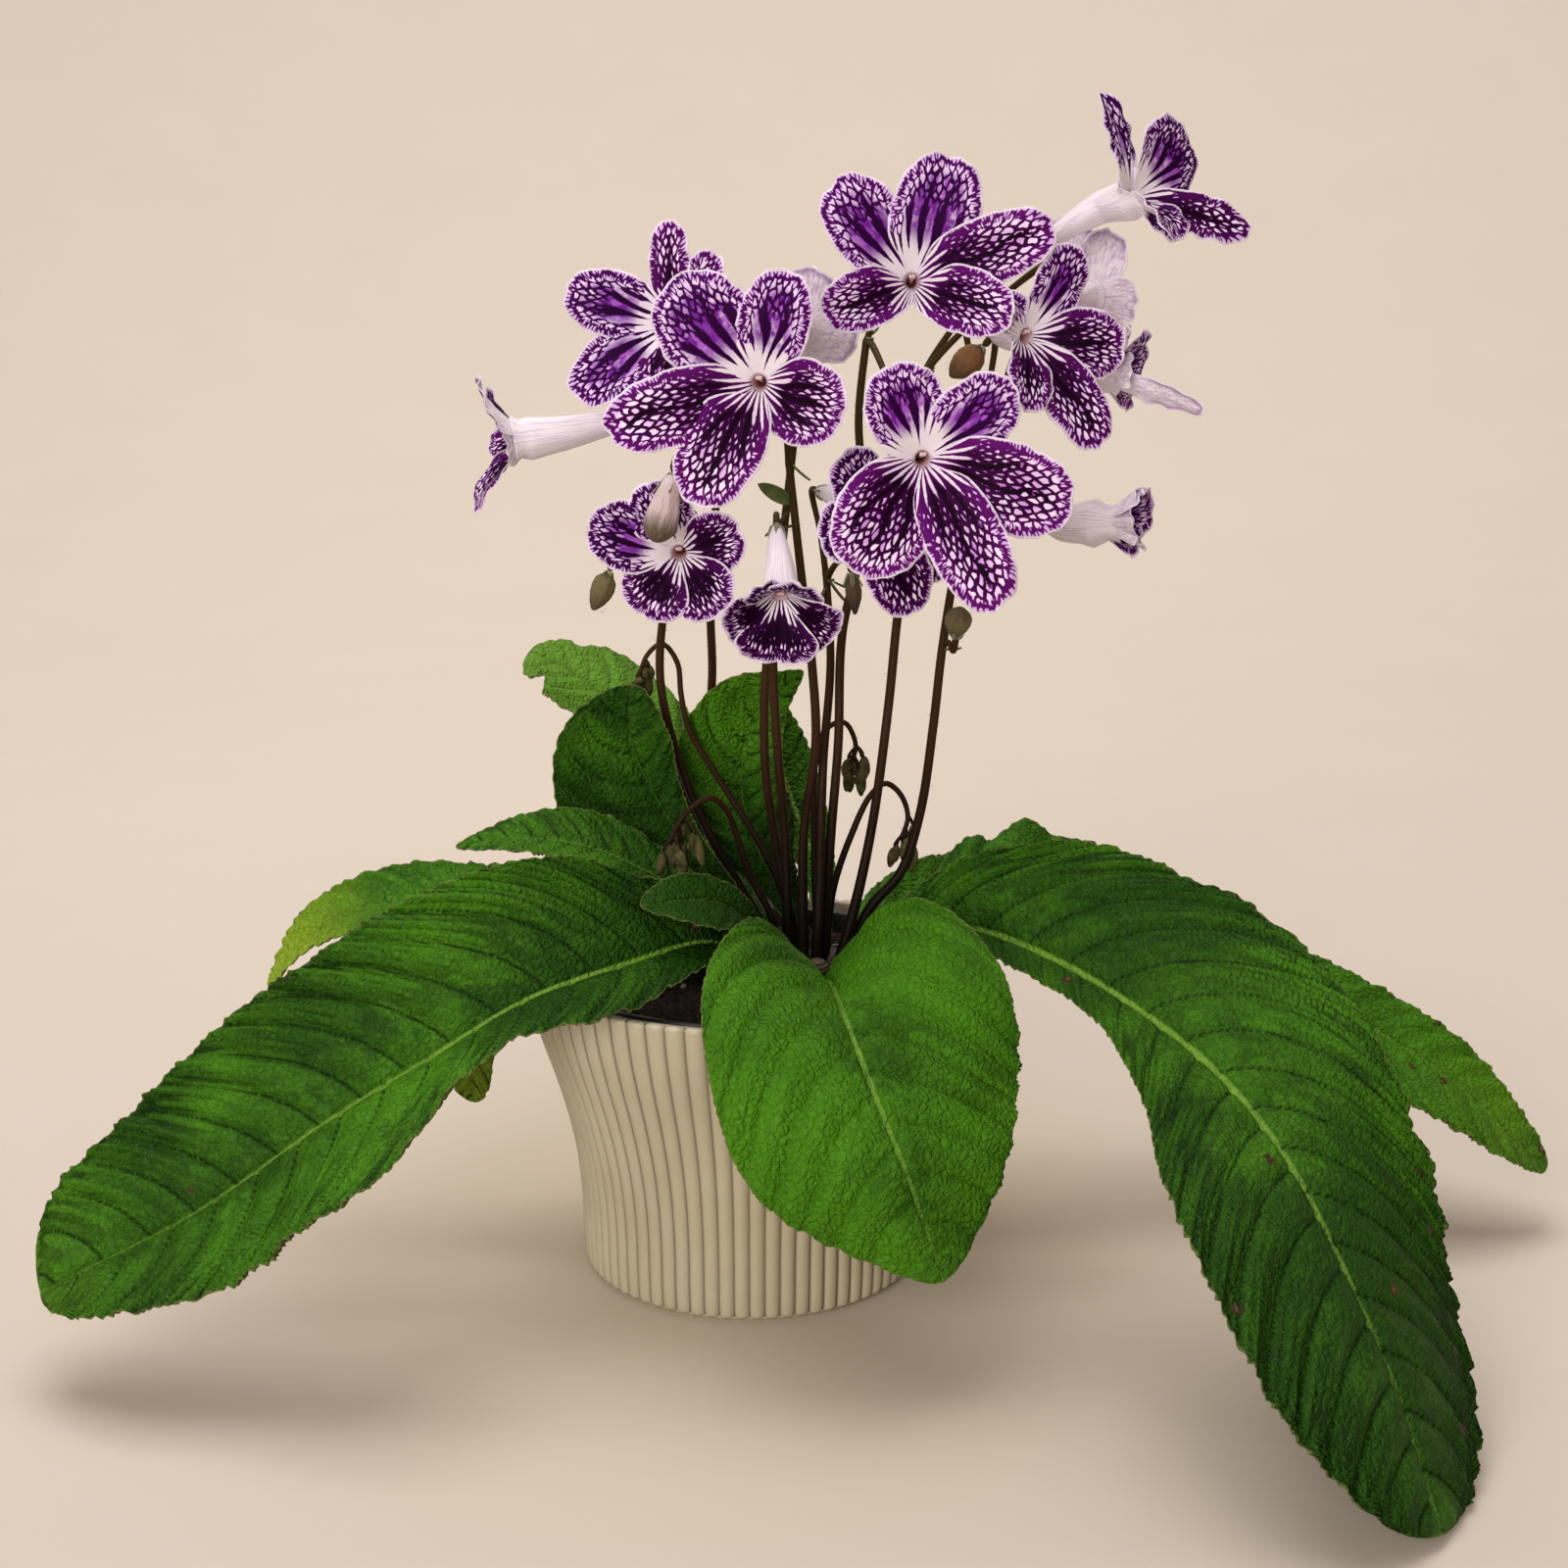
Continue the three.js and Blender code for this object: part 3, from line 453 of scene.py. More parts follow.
for i in range(CRUMBS):
    spin, out = rng.uniform(0, 2 * pi), CRUMB_SPREAD * sqrt(rng.uniform(0.02, 1))
    middle = np.array([out * cos(spin), out * sin(spin), SOIL_TOP + 0.9])
    soil_shapes.append(crumb(middle, rng.uniform(0.5, 1.5), rng, int(i % 5 == 0)))
peat = Finish("peat")
fine_grain = peat.speckle(600, 5)
colour = layered((0.008, 0.0055, 0.004), ((0.042, 0.026, 0.016), ease(fine_grain, 0.35, 0.75)),
                 ((0.075, 0.045, 0.026), ease(peat.speckle(150, 4), 0.6, 0.8, 0, 0.6)))
peat.paint(colour, 0.95, fine_grain, 0.0008, specular=0.2)
perlite = Finish("perlite")
perlite.paint(tone((0.5, 0.46, 0.4), (0.2, 0.17, 0.13), perlite.speckle(500)), 0.9,
              perlite.speckle(900), 0.0003)
add_piece("soil_surface", soil_shapes, [peat, perlite], "soil")


# ---- crown -----------------------------------------------------------------------------------
# Short woody rootstock at soil level, dark brown and scarred, with the cut stub of an old
# leaf stalk at the front. Every leaf and flower stalk grows out of it.
CROWN_MIDDLE = np.array([16, 2, 78.8])  # at its underside
CROWN_SIZE = np.array([19, 17, 2.4])  # half widths and height
CROWN_LINE = [(0.97, 0), (1.0, 0.25), (0.96, 0.55), (0.86, 0.8), (0.7, 0.93), (0.5, 1.0),
              (0.25, 1.04), (0.02, 1.05)]  # spread and rise, as shares of its size
CROWN_SIDES = 96
SCARS = 26  # leaf scars and short root ends
STUB = [[17, -8, 81.5], [17.4, -13, 84.2], [17.7, -17.2, 85.4]]


def unit(vectors):
    """Vectors brought to length one."""
    vectors = np.asarray(vectors, float)
    return vectors / np.maximum(np.linalg.norm(vectors, axis=-1, keepdims=True), 1e-9)


def rod(path, radii, rings, sides, finish=0):
    """Closed round rod along a curve; radii are spread evenly along it."""
    middle, length = curve_through(path, rings)
    along = unit(np.gradient(middle, axis=0))
    u = np.linspace(0, 1, rings + 1)
    radius = np.interp(u, np.linspace(0, 1, len(radii)), radii)
    cap = np.clip(length * np.minimum(u, 1 - u) / np.maximum(radius, 1e-3), 0, 1)
    radius = radius * np.sqrt(1 - (1 - cap) ** 2 * 0.92)  # round ends
    side = np.cross(along[0], [0.3, 1.0, 0.2])
    turn = steps_round(sides)
    points, marks = [], []
    for i in range(rings + 1):
        side = unit(side - along[i] * (side @ along[i]))
        up = np.cross(along[i], side)
        points.append(middle[i] + radius[i] * (
            np.outer(np.cos(turn), side) + np.outer(np.sin(turn), up)))
        marks.append(np.stack([u[i] + 0 * turn, turn, length + 0 * turn], axis=1))
    return {"points": np.vstack(points), "marks": {"stem": np.vstack(marks)},
            "faces": [(f, finish) for f in closed_faces(rings + 1, sides)]}


turn = steps_round(CROWN_SIDES)
crown_rings = []
for spread, rise in CROWN_LINE:
    bumpy = 1 + 0.05 * np.sin(5 * turn + 2 * spread) + 0.03 * np.sin(11 * turn + 9 * rise)
    uneven = rise + 0.5 / CROWN_SIZE[2] * np.sin(7 * turn + 6 * spread) * rise
    crown_rings.append(CROWN_MIDDLE + CROWN_SIZE * rings_round(turn, [(spread * bumpy, uneven)]))
crown_shapes = [{"points": np.vstack(crown_rings), "faces": [
    (f, 0) for f in closed_faces(len(CROWN_LINE), CROWN_SIDES)]},
    rod(STUB, [3.8, 3.3, 3.1, 3.2], rings=14, sides=20, finish=1)]
rng = np.random.default_rng(5)
for _ in range(SCARS):
    spin, out = rng.uniform(0, 2 * pi), rng.uniform(0.25, 0.9)
    ray = np.array([cos(spin), sin(spin), 0])
    foot = (CROWN_MIDDLE + CROWN_SIZE * ray * out) * [1, 1, 0] + [0, 0, 80.2]
    lean = 1.5 * ray + [0, 0, rng.uniform(0.8, 2.2)]
    crown_shapes.append(rod([foot, foot + 0.5 * lean, foot + lean],
                            [rng.uniform(0.9, 2.0), 1.2, 0.5], rings=5, sides=8))
bark = Finish("crown_bark")
fibre = bark.speckle(260, 5)
bark.paint(tone((0.012, 0.007, 0.0045), (0.06, 0.032, 0.018), ease(fibre, 0.35, 0.7)), 0.85,
           fibre, 0.0008)
cut_end = Finish("cut_stub")
ringed = put(cut_end.tree, "ShaderNodeTexWave", {
    "Vector": cut_end.places(), "Scale": 300, "Distortion": 6}, ("Fac",), wave_type="RINGS")
cut_end.paint(tone((0.03, 0.017, 0.012), (0.11, 0.062, 0.045), ease(ringed, 0.2, 0.8)), 0.8,
              ringed, 0.0002)
add_piece("crown_rootstock", crown_shapes, [bark, cut_end], "crown")


# ---- leaves ----------------------------------------------------------------------------------
# Thirteen long, soft, hairy leaves. Each is one thin blade on a fleshy midrib: quilted between its
# sunken side veins, with a finely scalloped margin. The midrib grows out of the crown.
# midrib: points along it. heading: compass direction, which sets the right side. right, left:
# half widths. roll, fold, droop: degrees along the blade. back: how far the root's ears reach.
# rib: how pale the midrib is, rib_wide: how wide. veins: how dark. crumple: size of its creases.
# tooth: spacing of its scallops. torn: side, place, depth and span of each tear.
# light: painted light and shade along it, as a lighter or darker green. aged: yellowed tip, brown
# spots.
LEAVES = {
    "leaf_front_left": {
        "midrib": [[2, -9, 84], [-10, -24, 95], [-30, -38, 94], [-53, -50, 89], [-76, -58, 77],
                   [-102, -64, 62], [-132, -70, 42], [-169, -76, 24]],
        "heading": 200, "right": [5, 17, 32, 37, 38, 37, 34, 32],
        "left": [6, 11, 17, 14, 35, 31, 28, 22], "roll": [30, 40, 40, 32, 28, 28, 28, 28],
        "fold": [30, 22, 20, 22, 18, 14, 12, 10], "tip": 12, "rib_wide": 0.75,
        "aged": (0.45, 0.3), "light": [-0.9, -0.5, -0.1, 0.2, 0.3, 0.3, 0.3]},
    "leaf_front": {
        "midrib": [[19, -16, 82.5], [21, -40, 88], [24, -62, 86.5], [30, -78, 75],
                   [37.5, -87, 58], [46, -86, 31.5]],
        "heading": -75, "right": [6, 24, 34, 37, 36, 29, 16], "left": [6, 28, 39, 42, 39, 31.5, 18],
        "fold": [50, 40, 15, 0, -5, -8], "droop": [0, 0, -10, -12, -10, -5], "back": 8,
        "rib_wide": 0.75, "tooth": 1.8, "aged": (0.3, 0.1), "light": [0.5, 0.6, 0.55, 0.5],
        "veins": 0.42, "wavy": 0.35},
    "leaf_front_right": {
        "midrib": [[30, -6, 84], [39, -10, 92], [56, -16, 96], [73, -30, 94], [92, -50, 88],
                   [110, -74, 79], [122, -96, 67], [132, -116, 48], [141, -132, 26],
                   [147, -146, 3]],
        "heading": -45, "right": [4, 8, 10, 11, 22, 34, 39, 40, 36],
        "left": [4, 20, 34, 41, 43, 41, 48, 46, 38],
        "roll": [0, -25, -30, -25, -15, -5, 0, 5, 5], "fold": [40, 30, 20, 15, 10, 5, 0, 0, 0],
        "droop": [0, 0, -5, -10, -10, -10, -10, -10, -10], "tip": 10, "rib_wide": 1.2,
        "aged": (0.1, 1.2), "light": [-0.3, -0.1, 0.25, 0.1, -0.4, -0.5]},
    "leaf_back_left": {
        "midrib": [[-1, 2, 85.5], [-18, 7, 90], [-34, 9, 93.5], [-55, 9, 96.5], [-78, 8, 98],
                   [-101, 4, 96.5], [-117, -2, 90], [-127, -8, 78]],
        "heading": 170, "right": [3, 6, 10, 12, 13, 13, 12, 10], "roll": [0, 0, 10, 18, 25, 28],
        "fold": [15, 10, 5], "tip": 10, "veins": 0.4, "rib": 0.6,
        "aged": (0.95, 0.1), "light": [0.4]},
    "leaf_left_low": {
        "midrib": [[-2, 4, 81], [-20, 2, 86], [-45, -3, 91], [-64, -6, 88], [-73, -8, 68],
                   [-74, -9, 46]],
        "heading": 185, "right": [2.5, 6, 9, 10, 11, 10], "fold": [10],
        "roll": [0, 0, 0, 20, 50, 60], "tip": 10, "aged": (0.8, 0.2), "light": [0.5]},
    "leaf_left_short": {
        "midrib": [[2, 1, 87], [-12, -2, 98], [-28, -4, 109], [-44, -5, 116], [-62, -5, 117.5],
                   [-77, -4, 115]],
        "heading": 185, "right": [3, 7, 10, 11, 9, 5], "roll": [25], "fold": [10], "rib": 0.6,
        "aged": (0.2, 0.0), "light": [-0.4, 0.0, 0.4, 0.4]},
    "leaf_upright_left": {
        "midrib": [[2, 10, 84], [-8, 12, 99], [-16, 13, 109], [-25, 14, 123], [-32, 14, 139],
                   [-32, 13, 155]],
        "heading": 150, "right": [2.5, 4, 5, 8, 13, 13], "left": [3, 6, 14, 26, 25, 18],
        "roll": [60], "fold": [10], "rib": 0.5, "wavy": 0.4,
        "aged": (0.0, 0.0), "light": [-0.8, -0.4, -0.1]},
    "leaf_upright_back": {
        "midrib": [[14, 18, 84], [9, 25, 92], [1, 29, 107], [-3, 31, 125], [2, 31, 143],
                   [14, 30, 155.5]],
        "heading": 90, "right": [2.5, 7, 13, 12, 9, 4], "left": [2.5, 5, 12, 19, 18, 6],
        "fold": [10], "rib": 0.5, "wavy": 0.4,
        "aged": (0.3, 0.0), "light": [-1.2, -0.9, 0.2, 0.8, 0.8]},
    "leaf_far_left": {
        "midrib": [[4, 20, 85], [-10, 38, 98], [-21, 55, 118], [-37, 66, 136], [-51, 70, 147],
                   [-65, 72, 154]],
        "heading": 160, "right": [2.5, 7, 12, 17, 16, 10], "left": [2.5, 7, 12, 17, 20, 26],
        "roll": [20], "fold": [10], "wavy": 0.5, "tip": 14, "rib": 0.6,
        "torn": [(0, 0.93, 0.45, 0.018), (1, 0.9, 0.2, 0.02)],
        "aged": (0.1, 0.5), "light": [0.2, 1.1, 2.0]},
    "leaf_back_small": {
        "midrib": [[20, 16, 84], [18, 34, 98], [10, 48, 118], [3, 55, 137], [-3, 57, 150]],
        "heading": 100, "right": [2, 5, 9, 10, 7], "fold": [15],
        "aged": (0.0, 0.0), "light": [0.6]},
    "leaf_left_young": {
        "midrib": [[4, -7, 91], [-1, -15, 99], [-8, -21, 105], [-17, -28, 107.5],
                   [-27, -33, 107.5]],
        "heading": 200, "right": [2.5, 5, 7, 8, 6], "left": [2.5, 8, 12, 12, 8],
        "roll": [25, 35, 35, 35, 30], "fold": [15, 15, 10, 10, 10], "wavy": 0.5, "rib": 0.55,
        "veins": 0.4, "aged": (0.2, 0.0), "light": [-0.9, -0.6, -0.3]},
    "leaf_back_right": {
        "midrib": [[28, 11, 84], [36, 26, 88], [56, 44, 90], [80, 52, 90], [108, 52, 83],
                   [138, 43, 71], [168, 31, 57], [194, 22, 42], [222, 14, 17]],
        "heading": 0, "right": [4, 12, 17, 20, 23, 26, 27, 25, 19],
        "left": [4, 10, 12, 13, 13, 13, 14, 15, 13], "fold": [10], "tip": 8, "veins": 0.5,
        "roll": [0, -25, -25, -25, -25, -30, -35, -35, -35],
        "aged": (0.55, 2.0), "light": [0.45]},
    "leaf_right_curled": {
        "midrib": [[31, 3, 84], [40, 10, 92], [52, 16, 98], [66, 22, 102], [80, 27, 104],
                   [94, 31, 104]],
        "heading": 20, "right": [3, 8, 10, 9, 8, 6], "left": [3, 8, 10, 12, 13, 8],
        "roll": [-10], "fold": [20], "crumple": 13, "aged": (0.3, 0.0), "light": [0.3, 0.4]},
}
BLADE = 0.8  # thickness
VEIN_PITCH = 12.5  # between side veins
TOOTH = 2.7  # spacing of the scallops along the margin
MIDRIB_STEPS = 400  # fine steps that a blade's own are measured off from


def along_table(table, u):
    """Smooth value between evenly spaced entries, u from 0 to 1."""
    table = np.asarray(table, float)
    last = len(table) - 1
    x = np.clip(u, 0, 1) * last
    i = np.clip(x.astype(int), 0, max(last - 1, 0))
    t = x - i
    a, b, c, d = (table[np.clip(i + k, 0, last)] for k in (-1, 0, 1, 2))
    return 0.5 * (2 * b + (c - a) * t + (2 * a - 5 * b + 4 * c - d) * t**2
                  + (3 * b - a - 3 * c + d) * t**3)


def thin_shell(surface, upper, lower, marks, finish=0, under=1):
    """Closed thin body over a grid: upper and lower are offsets along the normal.

    Each of the marks is three values, one number or a grid of them.
    """
    rows, columns = surface.shape[:2]
    marks = {key: np.stack([part + np.zeros((rows, columns)) for part in three], axis=-1)
             for key, three in marks.items()}
    count = rows * columns
    normal = unit(np.cross(np.gradient(surface, axis=1), np.gradient(surface, axis=0)))
    points = np.vstack([(surface + normal * upper[..., None]).reshape(-1, 3),
                        (surface + normal * lower[..., None]).reshape(-1, 3)])
    i, j = np.meshgrid(np.arange(rows - 1), np.arange(columns - 1), indexing="ij")
    a = (i * columns + j).ravel()
    top = np.stack([a, a + 1, a + columns + 1, a + columns], axis=1)
    edge = np.concatenate([np.arange(columns), np.arange(2, rows) * columns - 1,
                           count - 1 - np.arange(columns), np.arange(rows - 2, 0, -1) * columns])
    after = np.roll(edge, -1)
    rim = np.stack([edge, edge + count, after + count, after], axis=1)
    return {"points": points,
            "faces": [(top, finish), (rim, finish), ((top + count)[:, ::-1], under)],
            "marks": {key: np.vstack([both.reshape(-1, 3)] * 2) for key, both in marks.items()}}


def waves(x, seed):
    """Slow random waves along x, about -1 to 1."""
    rng = np.random.default_rng(seed)
    return sum(np.sin(x * rng.uniform(0.6, 1.7) + rng.uniform(0, 6.28)) for _ in range(4)) * 0.325


def smooth_step(x, low, high):
    """0 below low, 1 above high and smooth between."""
    t = np.clip((x - low) / (high - low), 0, 1)
    return t * t * (3 - 2 * t)


def leaf_blade(leaf, seed):
    """The blade of one leaf as a closed shell, with marks for its finish."""
    middle, length = curve_through(leaf["midrib"], MIDRIB_STEPS)
    tooth = leaf.get("tooth", TOOTH)
    body = np.linspace(0, 0.9, int(length / min(1.1, tooth / 2.4)))
    u = np.concatenate([body, 0.9 + 0.0999 * np.sin(np.linspace(0.06, pi / 2, 34))])
    step = np.arange(MIDRIB_STEPS + 1)
    place, tangent = (np.stack([np.interp(u * MIDRIB_STEPS, step, q[:, k]) for k in range(3)],
                               axis=1) for q in (middle, np.gradient(middle, axis=0)))
    tangent = unit(tangent)
    heading = radians(leaf["heading"])
    side = np.array([sin(heading), -cos(heading), 0.0])
    side = unit(side - tangent * (tangent @ side)[:, None])
    roll = np.radians(along_table(leaf.get("roll", [0]), u))[:, None]
    side = side * np.cos(roll) + np.cross(side, tangent) * np.sin(roll)
    up = np.cross(side, tangent)
    rounding = np.sqrt(1 - u ** leaf.get("tip", 6))
    widths = [np.maximum(along_table(w, u), 0.2) * rounding
              for w in (leaf.get("left", leaf["right"]), leaf["right"])]
    v = np.linspace(-1, 1, 2 * int(max(w.max() for w in widths)) + 1)
    v = np.sign(v) * (0.55 * np.abs(v) + 0.45 * (1 - (1 - np.abs(v)) ** 1.6))
    for torn, place_u, depth, span in leaf.get("torn", []):
        widths[torn] = widths[torn] * (1 - depth * np.exp(-((u - place_u) / span) ** 2))
    uu, vv = np.meshgrid(u, v, indexing="ij")
    a = np.abs(vv)
    width = np.where(vv > 0, widths[1][:, None], widths[0][:, None])
    wavy = leaf.get("wavy", 1)
    s = uu * length  # along the midrib
    scallop = np.abs(np.sin(pi * (s / tooth + 0.3 * waves(s / 9, seed)))) - 0.6
    width = width * (1 + 0.22 * tooth * scallop / np.maximum(width, 6) * a**6
                     + 0.035 * wavy * waves(s / 11, seed + 1) * a**2)
    phi = np.radians(along_table(leaf["fold"], uu) + along_table(leaf.get("droop", [0]), uu) * a)
    surface = (place[:, None] + (np.sign(vv) * width * a * np.cos(phi))[..., None] * side[:, None]
               + (width * a * np.sin(phi))[..., None] * up[:, None]
               - (leaf.get("back", 0) * (1 - uu) ** 4 * a * a)[..., None] * tangent[:, None])
    x = width * a  # out from the midrib
    half = np.maximum(width, 3)
    # side veins lean forward and bend towards the tip, with cushions between the finest
    pitch = np.clip(half.max() / 2.9, 6.5, VEIN_PITCH)
    vein = (s - 0.30 * x - 0.62 * x * a) / pitch + 0.5 * (vv > 0) + 0.12 * waves(s / 30, seed + 2)
    beside = np.abs(vein - np.round(vein)) * pitch
    vein_cut = np.exp(-(beside / 0.65) ** 2) * (1 - 0.45 * a**3) * (a < 0.995)
    gap, _, cell = cell_net(vein * pitch / 3.1 + 7.3 * (vv > 0), x / (3.3 + 7 * a * a) + 0.5, seed)
    cushion = smooth_step(gap, 0, 1 / 1.7)
    size = np.clip(half / 22, 0.35, 1)
    rib = np.exp(-(x / ((1.5 - 0.95 * uu) * np.clip(half / 18, 0.5, 1)
                        * leaf.get("rib_wide", 1))) ** 2)
    swell = (0.5 - 0.5 * np.cos(2 * pi * vein)) * np.clip(x / 6, 0, 1)
    relief = size * ((0.12 + 1.7 * wavy * a**2) * cushion * np.clip(x / 4, 0, 1) - 0.85 * vein_cut
                     + 1.15 * swell * (0.5 + 0.5 * a) - 0.9 * rib)
    # slow ruffles, strongest along the margin
    slow = (1.3 * wavy * waves(s / 17 + 2 * vv, seed + 3) * a**2
            + 0.9 * wavy * waves(s / 8 + vv, seed + 4) * a**5
            + leaf.get("crumple", 0) * waves(s / 4 + 1.5 * vv, seed + 5) * a)
    relief = relief + slow * np.clip(half / 26, 0.3, 1)
    relief = relief * np.clip(np.minimum(s / 12, (1 - uu) * length / 4), 0, 1)
    edge = np.minimum(x / a.clip(0.02) * (1 - a), (1 - uu) * length * 0.8)  # to the margin
    thick = BLADE * (0.3 + 0.7 * np.clip(edge / 2.5, 0, 1))
    keel = 1.5 * rib * (1 - 0.75 * uu) * np.clip(half / 18, 0.6, 1)
    depth = -thick / 2 - keel - 0.35 * vein_cut * size
    veins, pale_rib = leaf.get("veins", 1), leaf.get("rib", 1)
    dark_rib = 0.6 * rib * (pale_rib < 0.55) * (1 - 0.5 * uu)
    marks = {
        "blade": [s, np.sign(vv) * x, edge],
        "relief": [np.maximum(vein_cut * veins, dark_rib), 1 - (1 - cushion) * veins, cell],
        # the second value is painted light and shade along the blade, from the leaf's light table
        "age": [uu, along_table(leaf["light"], uu), leaf["aged"][0] * np.clip(
            (uu - 0.55) / 0.4, 0, 1)],
        "wear": [leaf["aged"][1], a, rib * pale_rib],
    }
    return thin_shell(surface, relief + thick / 2, relief + depth, marks)


def leaf_finish(name, young, deep, bright, gold, specular):
    """Living leaf: mottled greens, dark sunken veins, pale midrib, scorched tip and specks, with
    painted light and shade.
    """
    skin = Finish(name)
    _, _, edge = skin.marks("blade")
    vein, cushion, cell = skin.marks("relief")
    along, light, yellowed = skin.marks("age")
    spotted, outward, rib = skin.marks("wear")
    broad, fine = skin.speckle(24, 2), skin.speckle(260, 4)
    dark = (deep[0] * 0.3, deep[1] * 0.32, deep[2] * 0.3)
    net, coarse_net = (skin.cells(scale, feature="DISTANCE_TO_EDGE") for scale in (620, 400))
    from_spot, spot_shade = skin.cells(75, ("Distance", "Color"))
    lone = put(skin.tree, "ShaderNodeSeparateColor", {0: spot_shade})
    rough_spot = from_spot + skin.speckle(900, 2) * 0.16
    spot = ease(rough_spot, 0.22, 0.17) * lone.step("GREATER_THAN", lone, 1.02 - spotted * 0.34)
    spot_brown = tone((0.17, 0.12, 0.05), (0.05, 0.03, 0.012), ease(rough_spot, 0.08, 0.16))
    colour = layered(
        # painted light and shade: the light value also shifts the green here
        deep, (bright, ease(broad * 1.5 + cell * 0.25 + light * 0.5, 0.6, 1.4)),
        (gold, ease(yellowed + broad * 0.55, 0.65, 1.25)),
        # painted highlight: the tops of the cushions are lightened
        (bright, ease(cushion * fine, 0.35, 0.9, 0, 0.45)),
        # painted shade: darker in the fine creases, and between the cushions towards the margin
        (dark, ease(coarse_net, 0.14, 0.02, 0, 0.2)),
        (dark, ease(cushion, 0.45, 0.0, 0, 0.8) * ease(outward, 0.25, 0.95, 0.22, 1.0)),
        (dark, ease(vein, 0.3, 0.8, 0, 0.8)), (young, ease(vein, 0.95, 0.99, 0, 0.25)),
        (young, ease(rib, 0.35, 0.72) * ease(along, 1.0, 0.4, 0.3, 1)), (spot_brown, spot),
        ((0.50, 0.62, 0.22), ease(skin.cells(900), 0.16, 0.05, 0, 0.05)),  # hairs
        ((0.10, 0.055, 0.02), ease(yellowed + skin.speckle(60) * 0.5, 1.25, 1.38, 0, 0.9)),
        # painted light, then painted shade, from the light value along the leaf
        (young, ease(light, 0.8, 2.0, 0, 0.5)), (dark, ease(light, -0.1, -1.5, 0, 0.75)),
        ((0.17, 0.19, 0.05), ease(edge, 0.5, 0.1, 0, 0.55)))
    height = ease(net, 0.0, 0.25) + ease(coarse_net, -0.05, 0.32) * 1.1 + fine * 0.6
    skin.paint(colour, ease(fine, 0.3, 0.7, 0.40, 0.6), height, 0.0003, specular=specular)
    return skin


leaf_green = leaf_finish(
    "leaf_upper_side", young=(0.16, 0.31, 0.035), deep=(0.013, 0.056, 0.0015),
    bright=(0.060, 0.20, 0.005), gold=(0.22, 0.33, 0.015), specular=0.1)
leaf_under = leaf_finish(
    "leaf_under_side", young=(0.25, 0.27, 0.09), deep=(0.055, 0.075, 0.012),
    bright=(0.14, 0.18, 0.025), gold=(0.32, 0.28, 0.04), specular=0.2)
for number, (name, leaf) in enumerate(LEAVES.items()):
    add_piece(name + "_blade", [leaf_blade(leaf, 10 * number + 3)], [leaf_green, leaf_under],
              name)


# ---- flower stalks ---------------------------------------------------------------------------
# Nine slim upright stalks, nearly black at the crown and olive brown above, finely hairy. Each
# forks near its top into one thin pedicel for every flower or bud, with small bracts at the fork.
STEM = 1.25  # radius at the crown
PEDICEL = 0.75
HAIR = 0.045  # half width of a hair at its root
STALKS = {
    "stalk_far_left": [[[7, 10, 82], [-3, 16, 98], [-15, 19, 120], [-24, 19, 152], [-23, 16, 174],
                        [-19, 8, 192]],
                       ["flower_low_left", "bud_pale", "bud_low_left"]],
    "stalk_left": [[[6, 14, 82], [-4, 20, 92], [-13, 25, 102], [-15, 34, 117], [-13, 38, 132],
                    [-11, 36, 152], [-11, 27, 178], [-8, 20, 214]],
                   ["flower_left_behind", "flower_far_left"]],
    "stalk_front_left": [[[10, 2, 82], [9, 2, 117], [7, -2, 142], [6, -4, 166], [7, -2, 196]],
                         ["flower_nodding"]],
    "stalk_middle": [[[14, -1, 82], [14, -1, 118], [17, -3, 142], [16, -4, 163], [13, -3, 188],
                      [10, -3, 215]], ["flower_left"]],
    "stalk_front": [[[17, -6, 82], [18, -5, 100], [19, 1, 136], [21, 9, 161], [20, 16, 183]],
                    ["flower_behind_low", "bud_dry"]],
    "stalk_top": [[[19, 0, 82], [21, 1, 115], [23, 3, 141], [24, 6, 170], [30, 13, 197],
                   [28, 12, 224], [30, 13, 246]], ["flower_top", "flower_low_right"]],
    "stalk_right": [[[23, -3, 82], [27, -2, 96], [32, 0, 120], [36, 1, 152], [38, 2, 174],
                     [42, 8, 203], [44, 14, 236]], ["flower_top_right", "flower_back_right"]],
    "stalk_far_right": [[[25, 3, 82], [32, 5, 96], [40, 7, 105], [45, 8, 121], [48, 6, 145],
                         [50, 4, 167], [54, 6, 192], [60, 8, 217]],
                        ["flower_right", "flower_opening", "flower_far_right", "bud_top_right",
                         "bud_calyx"]],
    "stalk_back": [[[13, 6, 82], [8, 9, 105], [4, 8, 132], [4, 8, 158], [7, 9, 181],
                    [12, 11, 225]], ["flower_back"]],
}
FORKS = {"bud_calyx": 5, "flower_opening": -2}  # pedicels that leave below their stalk's top
